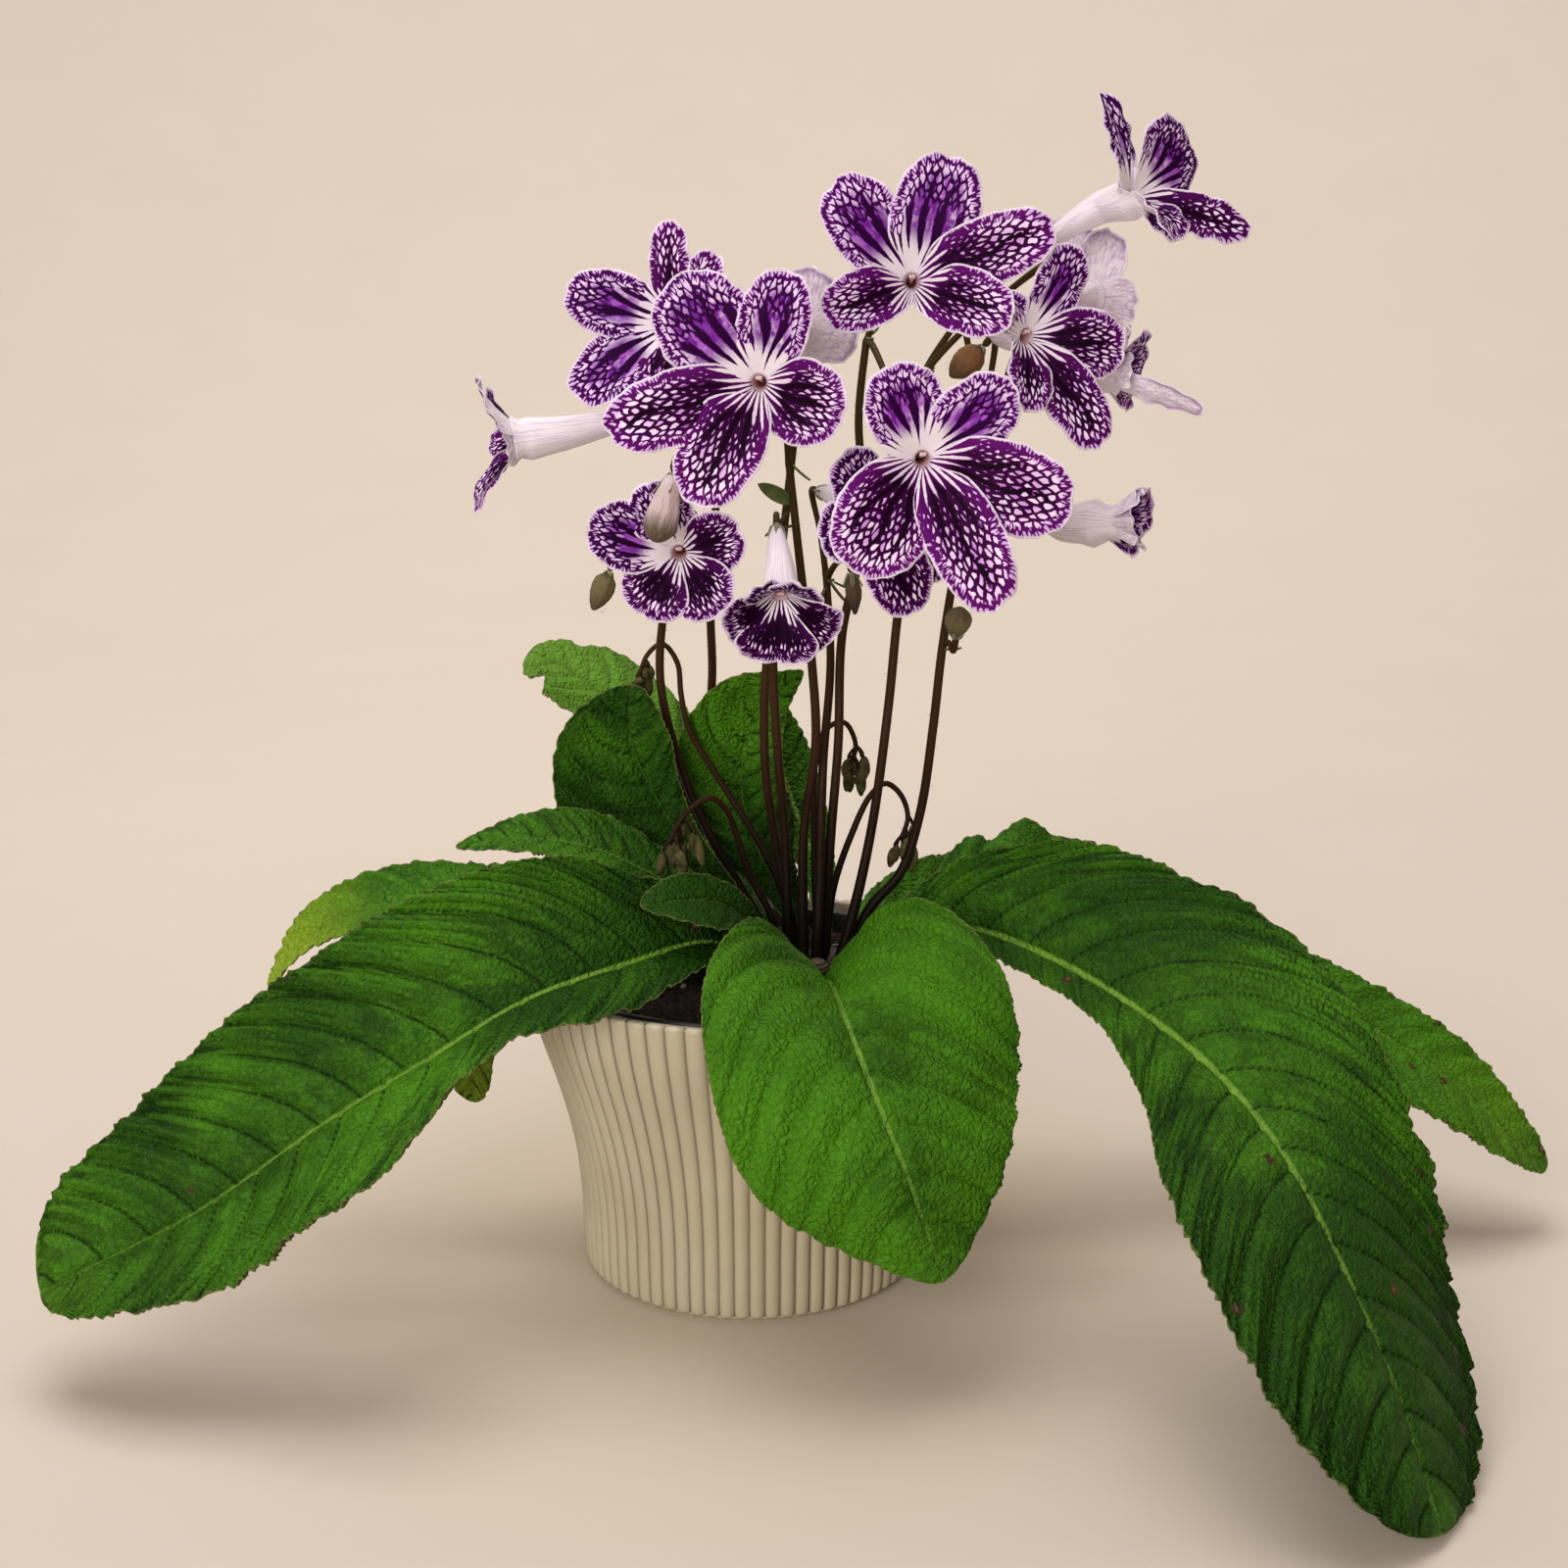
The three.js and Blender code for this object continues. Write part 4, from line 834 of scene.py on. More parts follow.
# where each pedicel ends, and its direction there: a vector, or degrees round from the front and up
PEDICEL_ENDS = {
    "flower_low_right": ([39, -19, 223], (5, 0)), "flower_left": ([7, -9, 240], (-8, 0)),
    "flower_top": ([40, 16, 261], (0, 5)), "flower_left_behind": ([-9, 24, 251], (-20, 5)),
    "flower_right": ([57, 5, 248], (28, 0)), "flower_top_right": ([73, 16, 269], (56, 14)),
    "flower_low_left": ([-15, 6, 200], (-5, -5)), "flower_nodding": ([7, -13, 199.5], (2, -40)),
    "flower_far_left": ([-24, 8, 226], (-95, -8)), "flower_behind_low": ([18, 21, 205], (25, 0)),
    "flower_opening": ([69, 5, 206], (92, -10)), "flower_far_right": ([72, 0, 242], (95, -5)),
    "flower_back": ([13, 10, 250], (180, 10)), "flower_back_right": ([75, 6, 263], (150, 5)),
    "bud_pale": ([-18, -30, 214], (-4, -5, -15.5)), "bud_low_left": ([-35, -12, 188], (-4, -3, -9)),
    "bud_dry": ([26, 0, 186], (1, -3, -10)), "bud_top_right": ([58, -3, 243], (-8, -3, -7)),
    "bud_calyx": ([53, -1, 170], (1, -3, 8)),
}
# the larger bracts: root, direction, length, half width, 1 for green or 2 for dry, and facing
BRACTS = {
    "stalk_middle": [([10.5, -3.5, 205], [-1, -0.25, 0.5], 10, 2.7, 1, (0.2, -1, 0.3)),
                     ([9.5, -3, 202], [-0.7, -0.3, -1], 8, 0.9, 2),
                     ([12, -3, 199], [-1, -0.2, -0.3], 5, 1.0, 2),
                     ([11, -3, 214], [0.7, -0.4, -0.8], 6, 1.1, 1)],
    "stalk_front": [([20.5, 12, 183], [0.6, -0.3, -1], 9, 1.1, 2),
                    ([20, 15, 181], [-0.4, -0.6, -1], 7, 0.9, 2),
                    ([22, 14, 182], [1, -0.6, -0.5], 6, 1.0, 2)],
    "stalk_top": [([30, 12.5, 228], [1, -0.3, 0.4], 5.5, 1.2, 1)],
}


def facing_axes(facing):
    """Across, up and outward directions of a flower's face."""
    around, lift = radians(facing[0]), radians(facing[1])
    out = np.array([sin(around) * cos(lift), -cos(around) * cos(lift), sin(lift)])
    across = np.array([cos(around), sin(around), 0.0])
    up = -np.cross(across, out)
    return across, (up if up[2] >= 0 else -up), out


def leaflet(root, way, length, width, cup, finish, face=(0.13, 0.4, 1.0)):
    """Small pointed scale: a bract or one sepal, as a closed thin blade."""
    way = unit(way)
    side = unit(np.cross(way, face))
    up = np.cross(side, way)
    u, v = np.meshgrid(np.linspace(0, 1, 9), np.linspace(-1, 1, 7), indexing="ij")
    half = width * np.sqrt(np.clip(u + 0.05, 0, 1)) * (1 - u) ** 0.7 * 1.5 + 0.06
    surface = (np.asarray(root, float) + (u * length)[..., None] * way
               + (half * v)[..., None] * side
               + (cup * (u**2 * length + 0.4 * half * v**2))[..., None] * up)
    thick = np.full(u.shape, 0.22)
    return thin_shell(surface, thick, -thick, {"stem": [u, v, length]}, finish, finish)


def hairs_on(path, radius, rng, count, length):
    """Short fine hairs that stand out from a stalk."""
    middle, _ = curve_through(path, 200)
    shapes = []
    for _ in range(count):
        i = rng.integers(6, 194)
        way = unit(middle[i + 1] - middle[i - 1])
        out = unit(np.cross(way, rng.normal(size=3)))
        root = middle[i] + out * radius * 0.8
        tip = root + (out + 0.35 * rng.normal(size=3)) * length
        side = np.cross(out, way) * HAIR
        points = np.array([root + side, root - 0.5 * side + HAIR * way,
                           root - 0.5 * side - HAIR * way, tip])
        faces = np.array([[0, 1, 3], [1, 2, 3], [2, 0, 3], [0, 2, 1]])
        shapes.append({"points": points, "faces": [(faces, 0)],
                       "marks": {"stem": np.full((4, 3), 0.5)}})
    return shapes


def mottled(name, dark, light, scale, low, high, rough, relief_scale, depth, **gloss):
    """A plain finish of two tones in soft blotches, with fine relief."""
    skin = Finish(name)
    skin.paint(tone(dark, light, ease(skin.speckle(scale), low, high)), rough,
               skin.speckle(relief_scale), depth, **gloss)
    return skin


stalk_skin = Finish("stalk_skin")
height = stalk_skin.parts_of(stalk_skin.places())[2] + stalk_skin.speckle(60) * 0.05
colour = layered((0.006, 0.003, 0.0015), ((0.034, 0.013, 0.004), ease(height, 0.115, 0.185)),
                 ((0.050, 0.030, 0.005), ease(height, 0.16, 0.265)),
                 ((0.10, 0.05, 0.015), ease(stalk_skin.speckle(900), 0.62, 0.78, 0, 0.25)))
streaks = put(stalk_skin.tree, "ShaderNodeTexNoise", {
    "Vector": stalk_skin.stretched(stalk_skin.places(), (1, 1, 0.12)), "Scale": 1400, "Detail": 3})
stalk_skin.paint(colour, 0.5, streaks, 0.0002, specular=0.1)
bract_green = mottled("bract_green", (0.045, 0.085, 0.012), (0.15, 0.17, 0.03), scale=220,
                      low=0.3, high=0.7, rough=0.6, relief_scale=1100, depth=0.0002)
bract_dry = mottled("bract_dry", (0.022, 0.012, 0.007), (0.12, 0.065, 0.03), scale=260,
                    low=0.3, high=0.7, rough=0.75, relief_scale=900, depth=0.0003)
rng = np.random.default_rng(21)
for name, (path, ends) in STALKS.items():
    shapes = [rod(path, [STEM * 1.25, STEM, STEM * 0.96, STEM * 0.9, STEM * 0.8],
                  rings=90, sides=14)]
    shapes += hairs_on(path, STEM, rng, count=90, length=1.1)
    for end in ends:
        start = np.array(path[FORKS.get(end, -1)], float)
        stop, way = PEDICEL_ENDS[end]
        way = unit(facing_axes(way)[2] if len(way) == 2 else way)
        stop = stop - 0.3 * way
        before = stop - 4 * way
        middle = (start + before) / 2 + [0, 0, 1.5]
        route = [start - [0, 0, 2], start + 0.1 * (before - start), middle, before, stop]
        shapes.append(rod(route, [STEM * 0.75, PEDICEL * 1.15, PEDICEL, PEDICEL * 1.1,
                                  PEDICEL * 1.35], rings=34, sides=10))
        shapes += hairs_on(route, PEDICEL, rng, count=26, length=0.8)
        lean = (before - start) * [1, 1, 0.3] + rng.normal(size=3)
        shapes.append(leaflet(start - [0, 0, 1], lean, rng.uniform(3.5, 6), width=0.75,
                              cup=0.25, finish=1))
    for root, way, length, width, kind, *face in BRACTS.get(name, []):
        shapes.append(leaflet(root, way, length, width, 0.16, kind, *face))
    add_piece(name + "_stem", shapes, [stalk_skin, bract_green, bract_dry], name)


# ---- young hooked stalks ---------------------------------------------------------------------
# Four short stalks still unfolding: each bends over like a crook and hangs a tuft of small
# olive buds with long sepals. They grow from the crown between the leaves.
HOOKS = {  # the way each goes, and how long its tuft is
    "hook_front_left": [[[9, -3, 82], [5, -4, 97], [0, -4, 107], [-3, -6, 117], [-6, -9, 126],
                         [-10, -12, 130], [-16, -15, 127], [-21, -17, 119]], 13],
    "hook_right": [[[20, 5, 82], [22, 8, 100], [27, 10, 115], [32, 12, 125], [36, 13, 128],
                    [40, 13, 125], [42, 12, 119], [40, 10, 113]], 9],
    "hook_back": [[[18, 10, 82], [17, 14, 110], [18, 16, 138], [21, 16, 143], [25, 16, 144],
                   [28, 16, 138], [27, 16, 133]], 10],
    "hook_back_left": [[[14, 13, 83], [4, 17, 107], [-10, 22, 129], [-17, 23, 141],
                        [-19, 24, 150], [-20, 24, 159], [-24, 24, 164], [-28, 23, 161],
                        [-30, 22, 156]], 8.5],
}
TUFT = 10  # buds in each
tuft_olive = mottled("tuft_olive", (0.026, 0.023, 0.007), (0.10, 0.088, 0.03), scale=420,
                     low=0.3, high=0.75, rough=0.7, relief_scale=1500, depth=0.0003,
                     specular=0.15)
for name, (path, hang) in HOOKS.items():
    shapes = [rod(path, [STEM * 0.85, STEM * 0.8, STEM * 0.72, STEM * 0.62, STEM * 0.5],
                  rings=90, sides=12)]
    shapes += hairs_on(path, STEM * 0.75, rng, count=60, length=0.9)
    before, tip = np.array(path[-2:], float)
    for i in range(TUFT):
        root = before + (tip - before) * rng.uniform(-0.1, 1)
        sway = np.array([rng.uniform(-0.7, 0.7), rng.uniform(-0.5, 0.4), -1])
        length = hang * rng.uniform(0.4, 0.9)
        low = root + sway * length * 0.45
        end = low + sway * [0.3, 0.3, 1] * length * 0.8
        shapes.append(rod([root, (root + low) / 2 + sway * [1, 1, 0] * 0.6, low],
                          [0.5, 0.42, 0.5], rings=8, sides=7))
        shapes.append(rod([low, low * 0.55 + end * 0.45, low * 0.2 + end * 0.8, end],
                          [0.6, 1.15, 1.3, 1.05, 0.45], rings=14, sides=10, finish=1))
        for j in range(3):  # its sepals
            shapes.append(leaflet(low, [0.35 * sin(2.1 * j + i), 0.35 * cos(2.1 * j + i), -1],
                                  length * 0.5, width=0.4, cup=0.06, finish=1))
    add_piece(name + "_crook", shapes, [stalk_skin, tuft_olive], name)


# ---- flowers ---------------------------------------------------------------------------------
# Fourteen corollas, each one thin soft body: a pale lilac tube that flares into five rounded
# lobes, white at the throat and netted with deep purple veins up to a pale margin. A green calyx
# holds the tube on its pedicel and a pink stigma shows in the throat.
# throat: middle of the mouth. facing: degrees round from the front, degrees up.
# lobes: direction round the face, length, half width, opening from the axis at root and tip.
# deep: painted shade on flowers that sit in shade, as a darker, thicker net. funnel: how far the
# tube widens towards the mouth.
FLOWERS = {
    "flower_low_right": {
        "throat": [41, -45, 219], "facing": (5, 0), "deep": 0.0,
        "lobes": [[112, 21.3, 10.3, 55, 95], [42, 24.5, 9.5, 55, 95], [233, 29.3, 12.8, 50, 90],
                  [342, 34.8, 11.5, 50, 95], [296, 38, 10, 45, 90]]},
    "flower_left": {
        "throat": [3, -35, 236], "facing": (-8, 0), "deep": 0.15,
        "lobes": [[131, 29, 12.6, 55, 95], [73, 25, 9.2, 55, 95], [197, 36, 9.6, 50, 90],
                  [340, 20.3, 11, 50, 95], [243, 31, 10.8, 45, 90]]},
    "flower_top": {
        "throat": [40, -10, 259], "facing": (0, 5), "deep": 0.1,
        "lobes": [[131, 28.5, 10.2, 55, 95], [72, 29, 11.5, 55, 95], [202, 23.5, 8.3, 45, 80],
                  [20, 34.8, 9, 50, 95], [338, 25.5, 9, 44, 80]]},
    "flower_left_behind": {
        "throat": [-18, 0, 249], "facing": (-20, 5), "deep": 0.4,
        "lobes": [[165, 26, 9, 50, 85], [220, 29, 9.3, 50, 85], [90, 22.5, 6, 55, 95],
                  [52, 18.3, 6, 55, 95], [270, 20, 9, 45, 80]]},
    "flower_right": {
        "throat": [68, -11, 246], "facing": (28, 0), "funnel": 1.25, "deep": 0.45,
        "lobes": [[66, 21.7, 8, 55, 92], [124, 9, 5, 75, 100], [352, 22.7, 9.5, 50, 85],
                  [297, 30.5, 8.5, 45, 80], [250, 19, 7.5, 40, 70]]},
    "flower_top_right": {
        "throat": [95, 5, 279], "facing": (47, 12), "funnel": 1.6, "deep": 0.7,
        "lobes": [[108, 24, 5.5, 72, 100], [42, 21.5, 11.5, 55, 82], [335, 30, 6.5, 40, 75],
                  [295, 14, 7, 30, 60], [235, 20, 7.5, 20, 60]]},
    "flower_low_left": {
        "throat": [-17, -20, 194], "facing": (-5, -5), "deep": 0.75,
        "lobes": [[156, 21.3, 9.6, 50, 90], [108, 18, 8.6, 50, 90], [22, 15.5, 8.6, 50, 90],
                  [237, 15.5, 9.6, 45, 85], [309, 16, 9.4, 45, 85]]},
    "flower_nodding": {
        "throat": [8, -30, 185], "facing": (2, -40), "funnel": 1.5, "deep": 1.0,
        "lobes": [[110, 10, 8.5, 40, 70], [65, 10, 8.5, 40, 70], [200, 13.5, 11, 40, 70],
                  [335, 14, 11, 40, 70], [265, 14.5, 12, 35, 65]]},
    "flower_far_left": {
        "throat": [-55.5, 0, 220.5], "facing": (-80, -8), "funnel": 1.7, "deep": 0.3,
        "lobes": [[68, 18, 9.5, 35, 75], [118, 14, 8, 35, 72], [200, 14, 7, 30, 60],
                  [350, 8, 6, 30, 60], [250, 22, 9, 28, 55]]},
    "flower_behind_low": {
        "throat": [31, -5, 201], "facing": (25, 0), "deep": 0.8,
        "lobes": [[125, 19, 9, 50, 90], [192, 16, 9, 50, 90], [284, 24, 10, 45, 85],
                  [60, 18, 9, 50, 90], [330, 22, 10, 50, 90]]},
    "flower_opening": {
        "throat": [88, 1, 199], "facing": (66, 2), "funnel": 2.1, "deep": 0.5,
        "lobes": [[90, 13, 10, 14, 36], [25, 14, 10, 18, 46], [160, 11, 11, 8, 30],
                  [225, 12, 11, 8, 26], [305, 11, 8, 16, 42]]},
    "flower_far_right": {
        "throat": [90, 8, 236], "facing": (76, -4), "funnel": 1.4, "deep": 0.3,
        "lobes": [[30, 15, 8.5, 40, 62], [100, 11, 6, 45, 75], [330, 12, 6, 40, 70],
                  [165, 9, 6, 25, 50], [214, 27, 6.5, 12, 26]]},
    "flower_back": {
        "throat": [12, 32, 246], "facing": (180, 10), "deep": 0.2,
        "lobes": [[110, 14, 8, 60, 100], [60, 14, 8, 60, 100], [190, 14, 8, 60, 100],
                  [350, 14, 8, 60, 100], [270, 17, 8, 50, 90]]},
    "flower_back_right": {
        "throat": [87, 25, 255], "facing": (150, 5), "deep": 0.2,
        "lobes": [[110, 15, 7, 58, 95], [62, 20, 8, 55, 90], [190, 11, 7, 60, 100],
                  [350, 11, 7, 60, 100], [270, 14, 7, 50, 90]]},
}
MOUTH = 1.9  # radius of the tube's mouth, where the lobes begin
COLLAR = 3.5  # radius that the lobes' lengths are measured from
TUBE_FLARE = 3.6  # how far out on the flare the tube's own rim reaches
PETAL = 0.34  # thickness
LOBE_OUTLINE = [0.50, 0.78, 0.94, 1.0, 1.0, 1.0, 0.97]
VEINS_A_SIDE = 2.5  # main veins on each half of a lobe
FAN = 0.60  # how wide the veins fan out
FAN_ROOT = 3.0  # how far behind the mouth's edge they meet
TUBE_SIDES = 40
SEPALS = 5
# round the mouth: how far out on the flare, how far behind it, and 1 for outside or 0 for face
MOUTH_RINGS = [(0.6, 1.15, 1), (0.92, 0.8, 1), (1.0, 0.5, 1), (0.97, 0.3, 0), (0.7, 0.4, 0),
               (0.4, 0.4, 0)]
THROAT_RINGS = [(-0.1, 2.2), (-0.5, 1.85), (-1.2, 1.6), (-2.2, 1.35), (-4.0, 1.15), (-8.0, 0.9)]


def vein_half(s, at, upper_lip, length):
    """Half width of the main veins, as a share of their spacing, s mm out from the mouth."""
    s = s + 1.4 * np.cos(pi * at) + 3.4 * waves(at * 1.9, 5)
    if upper_lip:
        return -0.06 + 0.26 * smooth_step(s, 2.0, 8.0) + 0.10 * smooth_step(s, 6, 0.5 * length)
    return 0.13 + 0.10 * smooth_step(s, -1.5, 2.5) + 0.38 * smooth_step(s, 3.2, 0.30 * length + 2)


def flare(length, open_root, open_tip):
    """Radius, height and lean of a lobe's surface at even steps out from the mouth."""
    reach = np.linspace(0, 1.15 * length + 6, 120)
    lean = np.radians(open_root + (open_tip - open_root) * np.clip(reach / length, 0, 1.1))
    radius = MOUTH + np.concatenate([[0], np.cumsum(np.sin(lean[:-1]) * reach[1])])
    height = np.concatenate([[0], np.cumsum(np.cos(lean[:-1]) * reach[1])])
    return reach, radius, height, lean


def lobe_shell(throat, axes, lobe, beside_gaps, upper_lip, deep, seed):
    """One lobe as a thin shell on the flare of the mouth, with marks for its veins."""
    turn, length, half, open_root, open_tip = lobe
    length += COLLAR - MOUTH
    across, up, out = axes
    turn = radians(turn)
    ahead = across * cos(turn) + up * sin(turn)
    beside = -across * sin(turn) + up * cos(turn)
    rng = np.random.default_rng(seed)
    u = np.concatenate([np.linspace(0, 0.8, 22), 0.8 + 0.197 * np.sin(
        np.linspace(0.14, pi / 2, 11))])
    v = np.linspace(1, -1, 25)
    v = np.sign(v) * (1 - (1 - np.abs(v)) ** 1.25)
    uu, vv = np.meshgrid(u, v, indexing="ij")
    width = half * along_table(LOBE_OUTLINE, uu) * np.sqrt(1 - uu**5)
    s = uu * length  # out from the mouth
    share = np.where(vv > 0, *beside_gaps) * vv  # angle towards the next lobe
    joined = 1 - smooth_step(s, 1.0, 8.0)  # where the lobes are grown together
    x = vv * width + joined * ((s + MOUTH) * np.sin(share) - vv * width)
    s = s + joined * ((s + MOUTH) * np.cos(share) - MOUTH - s)
    # wavy outline, drawn round the lobe's middle
    middle = 0.58 * length
    spin = np.arctan2(x, s - middle)
    rho = np.maximum(np.abs(vv), uu)
    wavy = (0.016 * np.sin(7 * spin + rng.uniform(0, 6))
            + 0.012 * np.sin(16 * spin + rng.uniform(0, 6))
            - rng.choice([0.0, 0.0, 0.05]) * np.exp(-((spin - 0.1) / 0.14) ** 2))
    grow = 1 + wavy * rho**4 * smooth_step(s, 0.3 * length, 0.6 * length)
    s, x = middle + (s - middle) * grow, x * grow
    rim_s, rim_x = (np.concatenate([q[:, 0], q[-1], q[::-1, -1]]) for q in (s, x))
    edge = np.hypot(s[..., None] - rim_s, x[..., None] - rim_x).min(axis=-1)
    # bent over the flare, with a ruffled margin and a faint fold along the middle
    reach, *bent = flare(length, open_root, open_tip)
    flat = np.hypot(s + MOUTH, x)
    angle = np.arctan2(x, s + MOUTH)
    radius, height, lean = (np.interp(np.clip(flat - MOUTH, 0, None), reach, q) for q in bent)
    ray = np.cos(angle)[..., None] * ahead + np.sin(angle)[..., None] * beside
    widen = (flat / np.maximum(radius, 1)) ** 0.5
    normal = -np.cos(lean)[..., None] * ray + np.sin(lean)[..., None] * out
    ruffle = np.sin(spin * rng.integers(5, 8) + rng.uniform(0, 6))
    lift = (0.055 * x + 0.55 * ruffle * np.exp(-edge / 2.6) * smooth_step(s, 3, 12)
            + 0.55 * waves(s / 7 + vv * 1.1, seed + 1) * smooth_step(s, 2, 14)
            - 0.7 * smooth_step(rho, 0.75, 1.0) * smooth_step(s, 4, 12) * rng.uniform(0.2, 1.2)
            - 0.35 * np.exp(-(x / 1.6) ** 2) * smooth_step(s, 2, 8))
    surface = (throat + (radius * np.cos(angle))[..., None] * ahead + height[..., None] * out
               + (radius * np.sin(angle) * widen)[..., None] * beside + lift[..., None] * normal)
    thick = PETAL * (0.45 + 0.55 * np.clip(edge / 1.5, 0, 1)) / 2
    # marks: the main veins fan out, the net lies beyond them and the fringe at the margin
    fan = x / np.maximum(s + FAN_ROOT, 0.8) / FAN
    vein_at = fan * VEINS_A_SIDE + 0.5 * upper_lip + 0.20 * waves(s / 4 + 3 * fan, seed + 2)
    margin = smooth_step(edge, 3.6, 1.8) * smooth_step(s, 0.28 * length, 0.45 * length)
    inner = smooth_step(edge, 1.2, 7.0)
    # deep thickens the dark net lines: painted shade on flowers that sit in shade
    if upper_lip:
        to_net = np.maximum(smooth_step(s, 0.42 * length, 0.72 * length), smooth_step(edge, 5, 3)
                            * smooth_step(s, 0.2 * length, 0.35 * length))
        line = 0.13 + 0.05 * inner + 0.05 * deep
        wash = smooth_step(edge, 2.4, 6.0) * smooth_step(s, 0.18 * length, 0.42 * length)
    else:
        to_net = smooth_step(s, 0.16 * length + 1, 0.27 * length + 3)
        line = 0.145 + (0.05 + 0.20 * deep**3) * inner + 0.03 * deep \
            + (0.18 + 0.05 * deep) * smooth_step(s, 0.66 * length, 0.28 * length)
        wash = 0.35 * inner * smooth_step(s, 0.8 * length, 0.4 * length)
    column, row = x / (0.050 * (s + 17)), (s + 0.02 * x * x) / 4.1
    marks = {
        "vein": [vein_at, FAN * (s + FAN_ROOT) / VEINS_A_SIDE,
                 vein_half(s, vein_at, upper_lip, length)],
        "net": [column + row + seed * 7.1, column - row, to_net],
        "fringe": [spin * half / 0.9 + seed * 3.3, edge / 3.6, margin],
        "look": [line, wash, edge],
        "reach": [s, deep, upper_lip],
    }
    return thin_shell(surface, thick, -thick, marks)


def tube_shell(throat, axes, start, lobes, deep, funnel):
    """Tube of the corolla from the calyx to the mouth, its collar, and the throat inside."""
    across, up, out = axes
    middle, _ = curve_through([start, start + 5 * out, throat - 9 * out, throat - 3 * out, throat],
                              30)
    u = np.linspace(0, 1, 31)
    radii = along_table([1.2, 2.1, 2.6, 3.0, 3.3, 3.6, 4.0], u) * (1 + 0.5 * (funnel - 1) * u)
    turn = steps_round(TUBE_SIDES)
    gap = (turn[:, None] - np.radians([lobe[0] for lobe in lobes]) + pi) % (2 * pi) - pi
    near = np.exp(-(gap / 0.5) ** 2)
    near /= near.sum(axis=1, keepdims=True)
    flares = [flare(*(share @ np.array(lobes)[:, [1, 3, 4]])) for share in near]
    ways = unit(np.gradient(middle, axis=0))
    rings = [(*ring, 0.035, 1) for ring in zip(middle, ways, radii)]
    for far, behind, kind in MOUTH_RINGS:
        radius, lift, lean = np.array([
            [np.interp(far * TUBE_FLARE * funnel, reach, q) for q in bent]
            for reach, *bent in flares]).T
        lift = lift - behind * np.sin(lean)
        rings.append((throat + lift[:, None] * out, out, radius + behind * np.cos(lean), 0, kind))
    rings += [(throat + deeper * out, out, radius, 0, 2) for deeper, radius in THROAT_RINGS]
    nearest = np.abs(gap).argmin(axis=1)
    is_upper = np.isin(nearest, (0, 1)).astype(float)
    at = np.tan(np.clip(gap[np.arange(TUBE_SIDES), nearest], -0.75, 0.75)) / FAN
    at = at * VEINS_A_SIDE + 0.5 * is_upper
    points, marks = [], {"vein": [], "net": [], "reach": [], "look": []}
    for i, (centre, axis, radius, ribs, _) in enumerate(rings):
        side = unit(across - axis * (across @ axis))
        rise = up - axis * (up @ axis)
        rise = unit(rise - side * (rise @ side))
        ribbed = radius * (1 + ribs * np.cos(5 * turn + 1))
        points.append(centre + (ribbed * np.cos(turn))[:, None] * side
                      + (ribbed * np.sin(turn))[:, None] * rise)
        width = np.where(is_upper > 0, -0.2, vein_half(radius - MOUTH, at, False, 30))
        for key, three in (("vein", [at, 1.0, width]), ("look", [0.12, 0.0, 9.0 + 0 * turn]),
                           ("net", [14 * np.cos(turn) + 0.1 * i, 14 * np.sin(turn), 0.0]),
                           ("reach", [radius, deep, is_upper])):
            marks[key].append(np.stack(np.broadcast_arrays(*three), axis=1))
    strips = np.array([1 if ring[4] == 1 else after[4] for ring, after in zip(rings, rings[1:])])
    quads, root_end, throat_end = closed_faces(len(rings), TUBE_SIDES)
    quads = quads.reshape(-1, TUBE_SIDES, 4)
    faces = [(quads[strips == kind].reshape(-1, 4), kind) for kind in (0, 1, 2)]
    return {"points": np.vstack(points), "faces": faces + [(root_end, 1), (throat_end, 2)],
            "marks": {key: np.vstack(values) for key, values in marks.items()}}


def cell_border(skin, vector, shift, randomness, warped_by=0.6, rounding=0.22):
    """Distance to the border of irregular cells drawn on a mark, and each cell's own shade."""
    warp = put(skin.tree, "ShaderNodeTexNoise", {"Vector": vector, "Scale": 0.9, "Detail": 1.0},
               ("Color",), noise_dimensions="2D")
    warped = put(skin.tree, "ShaderNodeVectorMath", {
        0: warp, 1: (warped_by, warped_by, 0), 2: vector}, operation="MULTIPLY_ADD")
    moved = put(skin.tree, "ShaderNodeVectorMath", {0: warped, 1: shift}, operation="ADD")
    cells = {"Vector": moved, "Scale": 1.0, "Randomness": randomness}
    border = put(skin.tree, "ShaderNodeTexVoronoi", cells, ("Distance",),
                 voronoi_dimensions="2D", feature="DISTANCE_TO_EDGE")
    middle, own_colour = put(skin.tree, "ShaderNodeTexVoronoi", cells, ("Distance", "Color"),
                             voronoi_dimensions="2D")
    own_shade = put(skin.tree, "ShaderNodeSeparateColor", {0: own_colour})
    return border - middle ** 2.0 * rounding + 0.2 * rounding, own_shade


petal_face = Finish("petal_netted_face")
net, fringe = petal_face.mark("net"), petal_face.mark("fringe")
to_net, margin = petal_face.parts_of(net)[2], petal_face.parts_of(fringe)[2]
vein_at, vein_mm, vein_width = petal_face.marks("vein")
line, wash, edge = petal_face.marks("look")
reach, deep, upper_lip = petal_face.marks("reach")
ragged = petal_face.speckle(700) - 0.5
beside = abs(vein_at - round(vein_at)) + ragged * 0.22
between = ease(beside - vein_width, -0.07, 0.07)
border, shade = cell_border(petal_face, net, (0, 0, 0), 0.6)
fringe_border, _ = cell_border(petal_face, fringe, (0.3, 0.15, 0), 0.6, 0.3, 0.05)
gap = border * (1.0 - margin) + fringe_border * margin + ragged * 0.10
vein_gap = beside * vein_mm
vein_line = ease(ragged * 0.7 + vein_gap - ease(reach, 26, 7, 0, 0.42), 0.28, 0.70)
vein_line = 1.0 - ease(edge, 2.6, 6.5) * (1.0 - vein_line)
